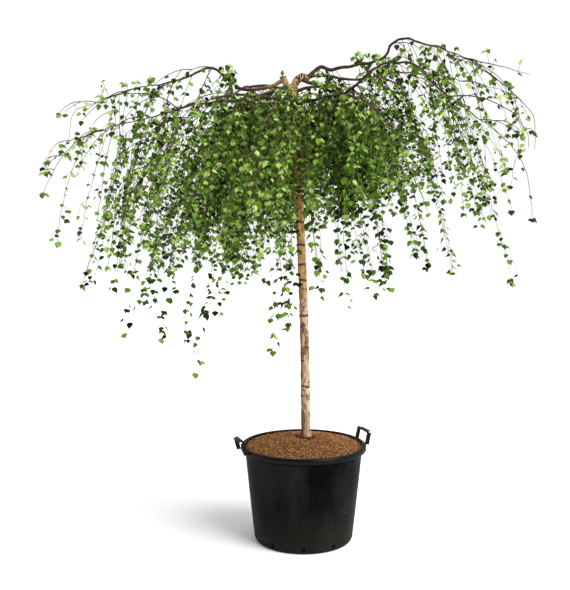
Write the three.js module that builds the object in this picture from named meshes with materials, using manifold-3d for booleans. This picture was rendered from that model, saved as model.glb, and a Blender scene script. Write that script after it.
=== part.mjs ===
// A weeping birch on a straight two metre stem, grown in a round plastic tub with two loop handles.
// Millimetres, +Z up. The origin is the centre of the tub's flat underside, and +X is the photograph's right.

import * as THREE from 'three';
import { mergeVertices } from 'three/addons/utils/BufferGeometryUtils.js';
import Module from 'manifold-3d';

const wasm = await Module();
wasm.setup();

// Clearance between pieces that touch
const GAP = 0.3;

// Tub
const TUB_HEIGHT = 540;
const TUB_SIDES = 28;
const TUB_WALL = 5;
const FOOT_RADIUS = 262;
const FOOT_ROUND = 15;
const WALL_FOOT_RADIUS = 279;
const WALL_TOP_RADIUS = 331;
const RIM_RADIUS = 355;
const RIM_DEPTH = 31;
const RIM_LIP = 17;
const EDGE = 3;
const DRAIN_COUNT = 10;
const DRAIN_RADIUS = 11;
const DRAIN_SIDES = 8;
const DRAIN_HEIGHT = 28;

// Handles
const HANDLE_HEADINGS = { handle_right: 19, handle_left: 199 };
const HANDLE_WIDTH = 150;
const HANDLE_RISE = 64;
const HANDLE_STRAP = 17;
const HANDLE_THICK = 6;
const HANDLE_LEAN = 19;
const HANDLE_ROUND = 20;
const HANDLE_LIP = 9;
const HANDLE_LIP_THICK = 3.6;
const HANDLE_FOOT = 8;
const HANDLE_REACH = RIM_RADIUS - EDGE - 1;

// Soil, heaped a little round the stem
const SOIL_EDGE_HEIGHT = 519;
const SOIL_TOP_HEIGHT = 566;
const SOIL_SEAT_RADIUS = 78;
// How far out, and how high up the heap, its slope changes
const SOIL_SHOULDER = { out: 0.8, up: 0.35 };
const SOIL_CROWN = { out: 0.5, up: 0.76 };

// Stem
const STEM_FOOT = new THREE.Vector3(13, 30, SOIL_TOP_HEIGHT + GAP);
const STEM_FORK_HEIGHT = 2515;
const STEM_LEAN = new THREE.Vector2(-84, -30);
const STEM_BOW = 20;
const STEM_FOOT_RADIUS = 27;
const STEM_TOP_RADIUS = 22;
const FLARE = 15;
const FLARE_HEIGHT = 22;
const NODE_SWELL = 1.2;
const NODE_SPACING = 118;
const GRAFT_SWELL = 8;
const GRAFT_LENGTH = 90;
const FLARE_PART = 0.12;
const STEM_BURIED = 12;
const STEM_SIDES = 12;
const STEM_STEPS = 20;

// The crown's own upright axis, which headings and reaches are measured from.
// A heading turns from +X, the right, towards +Y, the back.
const CROWN_X = -60;
const CROWN_Y = 0;

// The two stubs that the stem forks into: heading, reach and height of the end, radius
const STUBS = [
  { heading: 180, reach: 56, height: 2584, radius: 21 },
  { heading: 0, reach: 44, height: 2592, radius: 20 },
];
const STUB_ROOT_DEPTH = 45;
const STUB_SIDES = 8;
const STUB_SHOULDER = 0.8;
const STUB_END = 0.68;

// Main limbs. Each runs through a few [reach, height] stations, and the first `bare` of them are the bough,
// which ends where it enters its mass of foliage. The rest carry the mass's stem.
const LIMBS = [
  { name: 'left_upper', heading: 172, bare: 6, thick: 11, stations: [
    [40, 2560], [129, 2540], [281, 2525], [451, 2642], [554, 2613], [617, 2585],
    [760, 2566], [897, 2553], [1141, 2464], [1262, 2415], [1300, 2260]] },
  { name: 'left_lower', heading: 200, bare: 5, thick: 10, stations: [
    [30, 2532], [187, 2474], [378, 2425], [532, 2411], [629, 2380],
    [782, 2325], [1073, 2236], [1200, 2150], [1275, 2040], [1325, 1930]] },
  { name: 'right_upper', heading: -8, bare: 6, thick: 11, stations: [
    [50, 2590], [137, 2628], [225, 2620], [474, 2666], [532, 2738], [606, 2768],
    [750, 2720], [892, 2679], [1071, 2579], [1180, 2440], [1230, 2260]] },
  { name: 'right_middle', heading: 14, bare: 4, thick: 9, stations: [
    [47, 2566], [170, 2600], [370, 2586], [600, 2640],
    [720, 2645], [1044, 2606], [1280, 2572], [1390, 2520], [1440, 2430]] },
  { name: 'right_lower', heading: -30, bare: 5, thick: 10, stations: [
    [30, 2540], [251, 2484], [334, 2471], [488, 2580], [570, 2600],
    [702, 2577], [847, 2430], [1125, 2210], [1260, 2040], [1300, 1797]] },
];

// The other boughs arch evenly: height where they leave the head, rise of the crest, reach and drop of the end
const ARCHES = [
  { name: 'front_left', heading: 230, thick: 10, start: 2455, rise: -20, reach: 1120, drop: 550 },
  { name: 'front', heading: 260, thick: 10, start: 2425, rise: -25, reach: 1080, drop: 580 },
  { name: 'front_right', heading: 303, thick: 10, start: 2440, rise: -15, reach: 1090, drop: 555 },
  { name: 'back_right', heading: 45, thick: 10, start: 2505, rise: 80, reach: 1240, drop: 560 },
  { name: 'back', heading: 88, thick: 10, start: 2478, rise: 100, reach: 1180, drop: 600 },
  { name: 'back_left', heading: 130, thick: 10, start: 2508, rise: 80, reach: 1260, drop: 560 },
];

const ARCH_PARTS = [0, 0.14, 0.3, 0.46, 0.6, 0.76, 0.9, 1];
const ARCH_BARE = 4;
const ARCH_CREST = 0.34;
// The end of an arch bends over, and reaches less far than its length
const ARCH_TUCK = 0.06;
const ARCH_TUCK_FROM = 0.7;

// Every limb wanders a little to both sides of its heading
const WANDER = 22;
const WANDER_LENGTH = 640;

// Stems of the inner masses, which leave the stem of the tree under the head
const INNER = [
  { name: 'inner_right', heading: 20, height: 2385 },
  { name: 'inner_back', heading: 92, height: 2415 },
  { name: 'inner_left', heading: 164, height: 2360 },
  { name: 'inner_front_left', heading: 236, height: 2330 },
  { name: 'inner_front_right', heading: 308, height: 2345 },
];
const INNER_REACH = 455;
// Part of the reach, and the lift of the stem there
const INNER_STATIONS = [[0.3, 25], [0.55, 20], [0.8, -35], [1, -110]];

// A mass keeps to a wedge outside or inside this ring, clear of its sides
const RING_RADIUS = 500;
const RING_MARGIN = 8;

// Long hanging tails that make the crown's lower outline: heading, reach and height of the tip
const TAILS = {
  left_upper: [[167, 899, 1292], [171, 628, 1081]],
  left_lower: [[195, 1145, 1417], [205, 961, 1172]],
  front_left: [[217, 824, 1155], [239, 876, 1022]],
  front: [[249, 747, 1452], [260, 610, 1114]],
  front_right: [[299, 572, 1330], [307, 755, 1586]],
  right_lower: [[340, 879, 1485], [322, 640, 1402]],
  right_upper: [[354, 1011, 1732], [344, 735, 1593]],
  right_middle: [[9, 1290, 1409], [14, 800, 1500]],
  back_right: [[33, 906, 1560], [36, 673, 1361]],
  back: [[95, 620, 1085], [80, 930, 1350]],
  back_left: [[138, 596, 1208], [125, 1000, 1240]],
};

// Wood of the limbs and twigs
const BOUGH_SIDES = 6;
const BOUGH_TIP_RADIUS = 7;
const BOUGH_TAPER = 0.7;
const SPINE_SIDES = 4;
const TWIG_SIDES = 3;
const TWIG_RADIUS = 4;
const SHOOT_SWELL = 0.3;
const STRAND_THIN = 0.15;
const CLEAR = 9;

// Side shoots of a mass: how many, where on its stem, and how they turn, run and bend
const SHOOTS = 3;
const SHOOT_FROM = 0.12;
const SHOOT_SPAN = 0.62;
const SHOOT_JITTER = 0.4;
const SHOOT_TURN = [48, 72];
const SHOOT_LENGTH = [150, 280];
const SHOOT_LIFT = 0.25;
const SHOOT_BEND = 0.55;

// Hanging strands: those of the crown's edge are shorter and hang closer in
const STRANDS = 4;
const INNER_STRANDS = 5;
const STRAND_STEPS = 3;
const STRAND_FROM = [0.25, 0.95];
const STRAND_FAN = 45;
const STRAND_THROW = [40, 100];
const STRAND_DROP = [420, 940];
const STRAND_SWAY = [14, 30];
const STRAND_SAG = 1.25;
const SWAY_WAVES = 0.85;
const EDGE_REACH = [800, 1300];
const EDGE_SHRINK = 0.5;
const TAIL_STEPS = 4;
const TAIL_LEAF = 62;

// Leaves, each standing for a spray
const SPINE_LEAVES = 3;
const SPINE_LEAVES_FROM = 0.4;
const LEAF_LENGTH = 112;
const LEAF_WIDTH = 78;
const LEAF_THICK = 6;
const LEAF_SHOULDER = 0.4;
const LEAF_ROOT = 1.5;
const LEAF_SPACING = 250;
const LEAF_DROOP = 56;
const LEAF_TURN = [137, 177];
const LEAF_JITTER = 0.15;
const LEAF_SIZES = [0.85, 1.15];

const radians = THREE.MathUtils.degToRad;

// Repeatable random numbers from 0 to 1
function seeded(seed) {
  let state = (seed * 7919 + 104729) >>> 0;
  return () => {
    state = (state * 1664525 + 1013904223) % 4294967296;
    return state / 4294967296;
  };
}

function between([low, high], random) {
  return low + (high - low) * random();
}

// A closed mesh made into a solid that can be cut and joined
function solid(geometry) {
  const bare = geometry.clone();
  bare.deleteAttribute('normal');
  bare.deleteAttribute('uv');
  const merged = mergeVertices(bare, 1e-3);
  const index = merged.getIndex().array;
  const triangles = [];
  for (let i = 0; i < index.length; i += 3) {
    const [a, b, c] = [index[i], index[i + 1], index[i + 2]];
    if (a !== b && b !== c && c !== a) triangles.push(a, b, c);
  }
  return new wasm.Manifold(new wasm.Mesh({
    numProp: 3,
    vertProperties: new Float32Array(merged.getAttribute('position').array),
    triVerts: new Uint32Array(triangles),
  }));
}

// A solid turned back into geometry. Loose scraps and sealed hollows are dropped.
function geometryOf(body) {
  const bodies = body.decompose();
  let largest = bodies[0];
  for (const piece of bodies) {
    if (piece.numTri() > largest.numTri()) largest = piece;
  }
  const mesh = largest.getMesh();
  const geometry = new THREE.BufferGeometry();
  geometry.setAttribute('position', new THREE.BufferAttribute(Float32Array.from(mesh.vertProperties), 3));
  geometry.setIndex(Array.from(mesh.triVerts));
  geometry.computeVertexNormals();
  return geometry;
}

function joined(solids) {
  let all = solids[0];
  for (const piece of solids.slice(1)) all = all.add(piece);
  return all;
}

// The place at a heading and reach from the crown's axis
function place(heading, reach, height) {
  const angle = radians(heading);
  return new THREE.Vector3(CROWN_X + reach * Math.cos(angle), CROWN_Y + reach * Math.sin(angle), height);
}

// A level step along a heading
function stepOut(heading, length) {
  return new THREE.Vector3(length * Math.cos(radians(heading)), length * Math.sin(radians(heading)), 0);
}

// The level direction square to a heading, which tubes in that upright plane are set out from
function across(heading) {
  return new THREE.Vector3(-Math.sin(radians(heading)), Math.cos(radians(heading)), 0);
}

// A rod bent along a line of points, with its own radius at each point and flat ends. Where it meets another
// end to end, `first` or `last` gives the direction that both flat ends are square to.
function tube(points, radiusAt, side, sides, { first: firstWay, last: lastWay } = {}) {
  const steps = points.length - 1;
  const rod = new THREE.CylinderGeometry(1, 1, 1, sides, steps);
  const spots = rod.getAttribute('position');
  const frames = points.map((point, i) => {
    const along = points[Math.min(i + 1, steps)].clone().sub(points[Math.max(i - 1, 0)]).normalize();
    if (i === 0 && firstWay) along.copy(firstWay);
    if (i === steps && lastWay) along.copy(lastWay);
    const first = side.clone().addScaledVector(along, -side.dot(along)).normalize();
    return { point, first, second: first.clone().cross(along), radius: radiusAt(i / steps) };
  });
  const spot = new THREE.Vector3();
  for (let i = 0; i < spots.count; i += 1) {
    spot.fromBufferAttribute(spots, i);
    const frame = frames[Math.round((spot.y + 0.5) * steps)];
    const moved = frame.point.clone();
    moved.addScaledVector(frame.first, spot.x * frame.radius);
    moved.addScaledVector(frame.second, spot.z * frame.radius);
    spots.setXYZ(i, moved.x, moved.y, moved.z);
  }
  return rod;
}

// Tub: a turned wall with a rim, open at the top, and drain holes just above the foot
function tub() {
  const top = TUB_HEIGHT;
  const underRim = top - RIM_DEPTH;
  const inner = WALL_TOP_RADIUS - TUB_WALL;
  const profile = [
    [0, 0], [FOOT_RADIUS, 0], [WALL_FOOT_RADIUS - EDGE, FOOT_ROUND * 0.5], [WALL_FOOT_RADIUS, FOOT_ROUND],
    [WALL_TOP_RADIUS, underRim], [RIM_RADIUS - EDGE, underRim], [RIM_RADIUS, underRim + EDGE],
    [RIM_RADIUS, top - EDGE], [RIM_RADIUS - EDGE, top], [RIM_RADIUS - RIM_LIP, top], [inner, top - EDGE * 3],
    [inner, underRim], [WALL_FOOT_RADIUS - TUB_WALL, FOOT_ROUND],
    [FOOT_RADIUS - TUB_WALL, TUB_WALL], [0, TUB_WALL],
  ];
  const turned = new THREE.LatheGeometry(profile.map(([r, z]) => new THREE.Vector2(r, z)), TUB_SIDES);
  let shell = solid(turned.rotateX(Math.PI / 2));
  for (let i = 0; i < DRAIN_COUNT; i += 1) {
    const heading = radians(-90 + (i * 360) / DRAIN_COUNT);
    const drill = new THREE.CylinderGeometry(DRAIN_RADIUS, DRAIN_RADIUS, TUB_WALL * 8, DRAIN_SIDES);
    drill.rotateZ(Math.PI / 2);
    drill.translate(WALL_FOOT_RADIUS, 0, DRAIN_HEIGHT);
    drill.rotateZ(heading);
    shell = shell.subtract(solid(drill));
  }
  return geometryOf(shell);
}

// Soil: fills the tub to just under the rim, with a low heap and a flat seat for the stem
function soil() {
  const inner = WALL_TOP_RADIUS - TUB_WALL - GAP;
  const foot = WALL_FOOT_RADIUS - TUB_WALL - GAP;
  const heap = SOIL_TOP_HEIGHT - SOIL_EDGE_HEIGHT;
  const profile = [
    [0, TUB_WALL + GAP], [FOOT_RADIUS - TUB_WALL - GAP, TUB_WALL + GAP], [foot, FOOT_ROUND + GAP],
    [inner, TUB_HEIGHT - RIM_DEPTH], [inner, SOIL_EDGE_HEIGHT],
    [inner * SOIL_SHOULDER.out, SOIL_EDGE_HEIGHT + heap * SOIL_SHOULDER.up],
    [inner * SOIL_CROWN.out, SOIL_EDGE_HEIGHT + heap * SOIL_CROWN.up],
    [SOIL_SEAT_RADIUS, SOIL_TOP_HEIGHT], [0, SOIL_TOP_HEIGHT],
  ];
  const turned = new THREE.LatheGeometry(profile.map(([r, z]) => new THREE.Vector2(r, z)), TUB_SIDES);
  return turned.rotateX(Math.PI / 2);
}

// Handle: an upright loop of flat strap that stands on the rim and leans outwards, with a lip along its top
function handle() {
  const half = HANDLE_WIDTH / 2;
  const gapHalf = half - HANDLE_STRAP;
  const gapTop = HANDLE_RISE - HANDLE_STRAP;
  const round = HANDLE_ROUND;
  const gapRound = round - HANDLE_STRAP / 2;
  const outline = new THREE.Shape();
  outline.moveTo(-half, -HANDLE_FOOT);
  outline.lineTo(-gapHalf, -HANDLE_FOOT);
  outline.lineTo(-gapHalf, gapTop - gapRound);
  outline.absarc(-gapHalf + gapRound, gapTop - gapRound, gapRound, Math.PI, Math.PI / 2, true);
  outline.absarc(gapHalf - gapRound, gapTop - gapRound, gapRound, Math.PI / 2, 0, true);
  outline.lineTo(gapHalf, -HANDLE_FOOT);
  outline.lineTo(half, -HANDLE_FOOT);
  outline.absarc(half - round, HANDLE_RISE - round, round, 0, Math.PI / 2, false);
  outline.absarc(-half + round, HANDLE_RISE - round, round, Math.PI / 2, Math.PI, false);
  const strap = new THREE.ExtrudeGeometry(outline, {
    depth: HANDLE_THICK, bevelEnabled: false, curveSegments: 3,
  });
  const lip = new THREE.BoxGeometry(HANDLE_WIDTH - 2 * round, HANDLE_LIP_THICK, HANDLE_LIP + HANDLE_THICK);
  lip.translate(0, HANDLE_RISE - HANDLE_LIP_THICK / 2, (HANDLE_THICK - HANDLE_LIP) / 2);
  for (const piece of [strap, lip]) {
    piece.rotateX(Math.PI / 2);
    piece.rotateX(radians(-HANDLE_LEAN));
    piece.rotateZ(-Math.PI / 2);
  }
  const below = new THREE.BoxGeometry(HANDLE_WIDTH, HANDLE_WIDTH * 2, HANDLE_FOOT * 4);
  below.translate(0, 0, -HANDLE_FOOT * 2);
  return geometryOf(solid(strap).add(solid(lip)).subtract(solid(below)));
}

// The stem's middle line: a lean and one slow bow
function stemAt(height) {
  const part = (height - STEM_FOOT.z) / (STEM_FORK_HEIGHT - STEM_FOOT.z);
  const bow = STEM_BOW * 4 * part * (1 - part);
  return new THREE.Vector3(STEM_FOOT.x + STEM_LEAN.x * part + bow, STEM_FOOT.y + STEM_LEAN.y * part, height);
}

// The stem's radius: an even taper, the root flare, a slight swelling at each node, and the graft
function stemRadius(height) {
  const above = Math.max(0, height - STEM_FOOT.z);
  const part = above / (STEM_FORK_HEIGHT - STEM_FOOT.z);
  const taper = STEM_FOOT_RADIUS + (STEM_TOP_RADIUS - STEM_FOOT_RADIUS) * part;
  const flare = FLARE * Math.exp(-above / FLARE_HEIGHT);
  const node = NODE_SWELL * Math.cos((2 * Math.PI * above) / NODE_SPACING);
  const below = Math.max(0, STEM_FORK_HEIGHT - height);
  const graft = GRAFT_SWELL * Math.exp(-below / GRAFT_LENGTH);
  return taper + flare + node + graft;
}

// Stem and the two stubs that it forks into. `more` makes a slightly fatter one, to cut limbs clear of it.
function stem(more) {
  const heights = [];
  for (let i = 0; i <= STEM_STEPS; i += 1) {
    const part = i / STEM_STEPS;
    const eased = part < FLARE_PART ? (part * part) / FLARE_PART : part;
    heights.push(STEM_FOOT.z + (STEM_FORK_HEIGHT - STEM_FOOT.z) * eased);
  }
  heights[0] -= STEM_BURIED;
  const middle = heights.map(stemAt);
  const shaft = tube(middle, (part) => stemRadius(heights[Math.round(part * STEM_STEPS)]) + more,
    across(0), STEM_SIDES);
  const ground = new THREE.BoxGeometry(STEM_FOOT_RADIUS * 8, STEM_FOOT_RADIUS * 8, STEM_BURIED * 2);
  ground.translate(STEM_FOOT.x, STEM_FOOT.y, STEM_FOOT.z - STEM_BURIED);
  const parts = [solid(shaft).subtract(solid(ground))];
  const root = stemAt(STEM_FORK_HEIGHT - STUB_ROOT_DEPTH);
  for (const stub of STUBS) {
    const end = place(stub.heading, stub.reach, stub.height);
    const line = [0, 0.5, STUB_SHOULDER, 1].map((part) => root.clone().lerp(end, part));
    const radiusAt = (part) => (part < 1 ? 1 : STUB_END) * stub.radius + more;
    parts.push(solid(tube(line, radiusAt, across(0), STUB_SIDES)));
  }
  return joined(parts);
}

// Arching boughs get their stations from rise, reach and drop
function archStations(arch) {
  return ARCH_PARTS.map((part) => {
    const lift = Math.sin((Math.PI / 2) * Math.min(1, part / ARCH_CREST)) * arch.rise;
    const fall = part > ARCH_CREST ? arch.drop * ((part - ARCH_CREST) / (1 - ARCH_CREST)) ** 2 : 0;
    const reach = arch.reach * (part - ARCH_TUCK * Math.max(0, part - ARCH_TUCK_FROM));
    return [reach, arch.start + lift - fall];
  });
}

// A limb's middle line, split where the bough enters its mass
function limbLine(limb) {
  const knots = limb.stations.map(([reach, height]) => {
    const wave = Math.sin((2 * Math.PI * reach) / WANDER_LENGTH + limb.heading);
    const width = WANDER * Math.min(1, reach / WANDER_LENGTH);
    return place(limb.heading, reach, height).addScaledVector(across(limb.heading), width * wave);
  });
  const curve = new THREE.CatmullRomCurve3(knots, false, 'catmullrom', 0.5);
  const split = (limb.bare - 1) / (limb.stations.length - 1);
  const line = (from, to, steps) => {
    const points = [];
    for (let i = 0; i <= steps; i += 1) points.push(curve.getPoint(from + ((to - from) * i) / steps));
    return points;
  };
  const bough = line(0, split, (limb.bare - 1) * 2);
  const spine = line(split, 1, limb.stations.length - limb.bare + 1);
  const meeting = spine[1].clone().sub(bough[bough.length - 2]).normalize();
  spine[0] = spine[0].clone().addScaledVector(meeting, GAP);
  return { bough, spine, meeting };
}

// The point a given part of the way along a line of points
function pointAlong(line, part) {
  const spot = Math.min(part, 0.9999) * (line.length - 1);
  const i = Math.floor(spot);
  return line[i].clone().lerp(line[i + 1], spot - i);
}

function distanceToLine(point, line) {
  let nearest = Infinity;
  const section = new THREE.Line3();
  const foot = new THREE.Vector3();
  for (let i = 1; i < line.length; i += 1) {
    section.set(line[i - 1], line[i]).closestPointToPoint(point, true, foot);
    nearest = Math.min(nearest, foot.distanceTo(point));
  }
  return nearest;
}

// The space that a mass keeps to: a wedge between two headings, inside or outside the ring
function spaceOf(low, high, inside) {
  const lowSide = across(low);
  const highSide = across(high).negate();
  return (point) => {
    const level = new THREE.Vector3(point.x - CROWN_X, point.y - CROWN_Y, 0);
    const reach = level.length();
    const ring = inside ? reach < RING_RADIUS - RING_MARGIN : reach > RING_RADIUS + RING_MARGIN;
    return ring && level.dot(lowSide) > RING_MARGIN && level.dot(highSide) > RING_MARGIN;
  };
}

// A hanging strand: it leaves its twig outwards, falls, and sways a little on the way to its tip
function strandLine(start, target, sway, steps) {
  const level = target.clone().sub(start).setZ(0);
  const side = new THREE.Vector3(-level.y, level.x, 0).normalize();
  const points = [];
  for (let i = 0; i <= steps; i += 1) {
    const part = i / steps;
    const out = 1 - (1 - part) ** 3;
    const point = start.clone().addScaledVector(level, out);
    point.z = start.z + (target.z - start.z) * part ** STRAND_SAG;
    point.addScaledVector(side, sway * Math.sin(2 * Math.PI * part * SWAY_WAVES));
    points.push(point);
  }
  return { points, side };
}

// A leaf: a flat four-cornered blade, thickest in the middle, whose root is sunk in its twig
function leaf(root, along, side, size) {
  const face = along.clone().cross(side);
  const blade = new THREE.OctahedronGeometry(1, 0);
  const spots = blade.getAttribute('position');
  const spot = new THREE.Vector3();
  for (let i = 0; i < spots.count; i += 1) {
    spot.fromBufferAttribute(spots, i);
    const reach = Math.abs(spot.x) > 0.5 ? ((spot.x + 1) / 2) * size : LEAF_SHOULDER * size;
    const moved = root.clone();
    moved.addScaledVector(along, reach - LEAF_ROOT);
    moved.addScaledVector(side, (spot.y * LEAF_WIDTH * size) / LEAF_LENGTH / 2);
    moved.addScaledVector(face, (spot.z * LEAF_THICK) / 2);
    spots.setXYZ(i, moved.x, moved.y, moved.z);
  }
  return blade;
}

function corners(geometry) {
  const spots = geometry.getAttribute('position');
  return Array.from({ length: spots.count }, (_, i) => new THREE.Vector3().fromBufferAttribute(spots, i));
}

// Leaves along a twig, one after another round it, the last at its tip. Those that don't fit are left out.
function leavesOn(line, count, from, fits, random) {
  const blades = [];
  let turn = 360 * random();
  for (let i = 1; i <= count; i += 1) {
    const root = pointAlong(line, from + ((1 - from) * (i - LEAF_JITTER * random())) / count);
    const size = LEAF_LENGTH * between(LEAF_SIZES, random);
    turn += between(LEAF_TURN, random);
    const droop = radians(LEAF_DROOP);
    const level = new THREE.Vector3(Math.cos(radians(turn)), Math.sin(radians(turn)), 0);
    const along = level.multiplyScalar(Math.sin(droop)).setZ(-Math.cos(droop));
    const blade = leaf(root, along, across(turn).cross(along), size);
    if (corners(blade).every(fits)) blades.push(solid(blade));
  }
  return blades;
}

// Side shoots leave the mass's stem to both sides, rise a little and bend over
function shootLine(start, heading, length) {
  const out = stepOut(heading, length);
  return [0, 1 / 3, 2 / 3, 1].map((part) => {
    const point = start.clone().addScaledVector(out, part);
    point.z += length * (SHOOT_LIFT * part - SHOOT_BEND * part * part);
    return point;
  });
}

// The place on the mass's twigs that is nearest, seen from above, to where a tail hangs
function nearestAbove(carriers, target) {
  const level = (spot) => Math.hypot(spot.x - target.x, spot.y - target.y);
  const spots = carriers.flatMap((line) => line.slice(1));
  return spots.reduce((best, spot) => (level(spot) < level(best) ? spot : best));
}

// A mass of foliage: its stem, side shoots, the strands that hang from them, and their leaves
function mass(spine, heading, fits, tails, strandCount, seed, meeting) {
  const random = seeded(seed);
  const stemRadiusAt = (part) => BOUGH_TIP_RADIUS + (TWIG_RADIUS - BOUGH_TIP_RADIUS) * part;
  const pieces = [solid(tube(spine, stemRadiusAt, across(heading), SPINE_SIDES, { first: meeting }))];
  pieces.push(...leavesOn(spine, SPINE_LEAVES, SPINE_LEAVES_FROM, fits, random));
  const carriers = [spine];
  for (let i = 0; i < SHOOTS; i += 1) {
    const start = pointAlong(spine, SHOOT_FROM + (SHOOT_SPAN * (i + SHOOT_JITTER * random())) / SHOOTS);
    const turn = heading + (i % 2 ? 1 : -1) * between(SHOOT_TURN, random);
    const points = shootLine(start, turn, between(SHOOT_LENGTH, random));
    if (!points.slice(1).every(fits)) continue;
    pieces.push(solid(tube(points, (part) => TWIG_RADIUS * (1 + SHOOT_SWELL * (1 - part)),
      across(turn), TWIG_SIDES)));
    carriers.push(points);
  }
  const strands = tails.map(([tailHeading, reach, height]) => {
    const target = place(tailHeading, reach, height + TAIL_LEAF);
    return { start: nearestAbove(carriers, target), target, steps: TAIL_STEPS };
  });
  for (let i = 0; i < strandCount; i += 1) {
    const start = pointAlong(carriers[i % carriers.length], between(STRAND_FROM, random));
    const turn = heading + between([-STRAND_FAN, STRAND_FAN], random);
    const edge = THREE.MathUtils.smoothstep(start.distanceTo(place(0, 0, start.z)), ...EDGE_REACH);
    const shrink = 1 - EDGE_SHRINK * edge;
    const target = start.clone().add(stepOut(turn, between(STRAND_THROW, random) * shrink));
    target.z = start.z - between(STRAND_DROP, random) * shrink;
    strands.push({ start, target, steps: STRAND_STEPS });
  }
  for (const { start, target, steps } of strands) {
    const { points, side } = strandLine(start, target, between(STRAND_SWAY, random), steps);
    if (!points.slice(1).every(fits)) continue;
    pieces.push(solid(tube(points, (part) => TWIG_RADIUS * (1 - STRAND_THIN * part), side, TWIG_SIDES)));
    const count = Math.max(2, Math.round(start.distanceTo(target) / LEAF_SPACING));
    pieces.push(...leavesOn(points, count, 0, fits, random));
  }
  return joined(pieces);
}

// Finishes, by kind of piece
const finishes = {
  tub: new THREE.MeshStandardMaterial({ color: 0x1f2023, roughness: 0.55, metalness: 0 }),
  soil: new THREE.MeshStandardMaterial({ color: 0x6b4a2a, roughness: 0.95, metalness: 0 }),
  bark: new THREE.MeshStandardMaterial({ color: 0xc9a878, roughness: 0.8, metalness: 0 }),
  bough: new THREE.MeshStandardMaterial({ color: 0x5b4030, roughness: 0.85, metalness: 0 }),
  foliage: new THREE.MeshStandardMaterial({ color: 0x5c8a34, roughness: 0.6, metalness: 0 }),
};

const tree = new THREE.Group();

function add(name, geometry, finish) {
  const mesh = new THREE.Mesh(geometry, finish);
  mesh.name = name;
  tree.add(mesh);
  return mesh;
}

add('tub', tub(), finishes.tub);
add('soil', soil(), finishes.soil);
for (const [name, heading] of Object.entries(HANDLE_HEADINGS)) {
  const loop = add(name, handle(), finishes.tub);
  const turn = radians(heading);
  loop.position.set(HANDLE_REACH * Math.cos(turn), HANDLE_REACH * Math.sin(turn), TUB_HEIGHT + GAP);
  loop.rotation.z = turn;
}
add('stem', geometryOf(stem(0)), finishes.bark);

const cutter = stem(GAP);
const arches = ARCHES.map((arch) => ({ ...arch, bare: ARCH_BARE, stations: archStations(arch) }));
const limbs = [...LIMBS, ...arches].map((limb) => ({ ...limb, ...limbLine(limb) }));
for (const limb of limbs) {
  const radiusAt = (part) => limb.thick + (BOUGH_TIP_RADIUS - limb.thick) * part ** BOUGH_TAPER;
  const rod = tube(limb.bough, radiusAt, across(limb.heading), BOUGH_SIDES, { last: limb.meeting });
  add(`bough_${limb.name}`, geometryOf(solid(rod).subtract(cutter)), finishes.bough);
}

// Clear of the stem of the tree and of every bough
function clearOfWood(point) {
  const height = THREE.MathUtils.clamp(point.z, STEM_FOOT.z, STEM_FORK_HEIGHT);
  const axis = stemAt(height);
  if (axis.distanceTo(point) < stemRadius(height) + CLEAR) return false;
  return limbs.every((limb) => distanceToLine(point, limb.bough) > limb.thick + CLEAR);
}

const byHeading = limbs.map((limb) => ({ ...limb, turn: (limb.heading + 360) % 360 }))
  .sort((a, b) => a.turn - b.turn);
byHeading.forEach((limb, i) => {
  const before = byHeading[(i + byHeading.length - 1) % byHeading.length].turn - (i === 0 ? 360 : 0);
  const after = byHeading[(i + 1) % byHeading.length].turn + (i === byHeading.length - 1 ? 360 : 0);
  const inWedge = spaceOf((limb.turn + before) / 2, (limb.turn + after) / 2, false);
  const fits = (point) => inWedge(point) && clearOfWood(point);
  const body = mass(limb.spine, limb.heading, fits, TAILS[limb.name], STRANDS, i + 1, limb.meeting);
  add(`foliage_${limb.name}`, geometryOf(body), finishes.foliage);
});

INNER.forEach((stub, i) => {
  const wedge = 360 / INNER.length;
  const inWedge = spaceOf(stub.heading - wedge / 2, stub.heading + wedge / 2, true);
  const fits = (point) => inWedge(point) && clearOfWood(point);
  const root = stemAt(stub.height);
  const knots = INNER_STATIONS.map(([part, lift]) => (
    place(stub.heading, INNER_REACH * part, stub.height + lift)));
  const spine = [root, ...knots];
  const body = mass(spine, stub.heading, fits, [], INNER_STRANDS, 40 + i).subtract(cutter);
  add(`foliage_${stub.name}`, geometryOf(body), finishes.foliage);
});

export default tree;
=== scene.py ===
"""A weeping birch on a straight stem, grown in a round plastic tub: its looks, in metres, +Z up."""
import math

import bmesh
import bpy
import numpy as np
from mathutils import Matrix, Vector, noise


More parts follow.
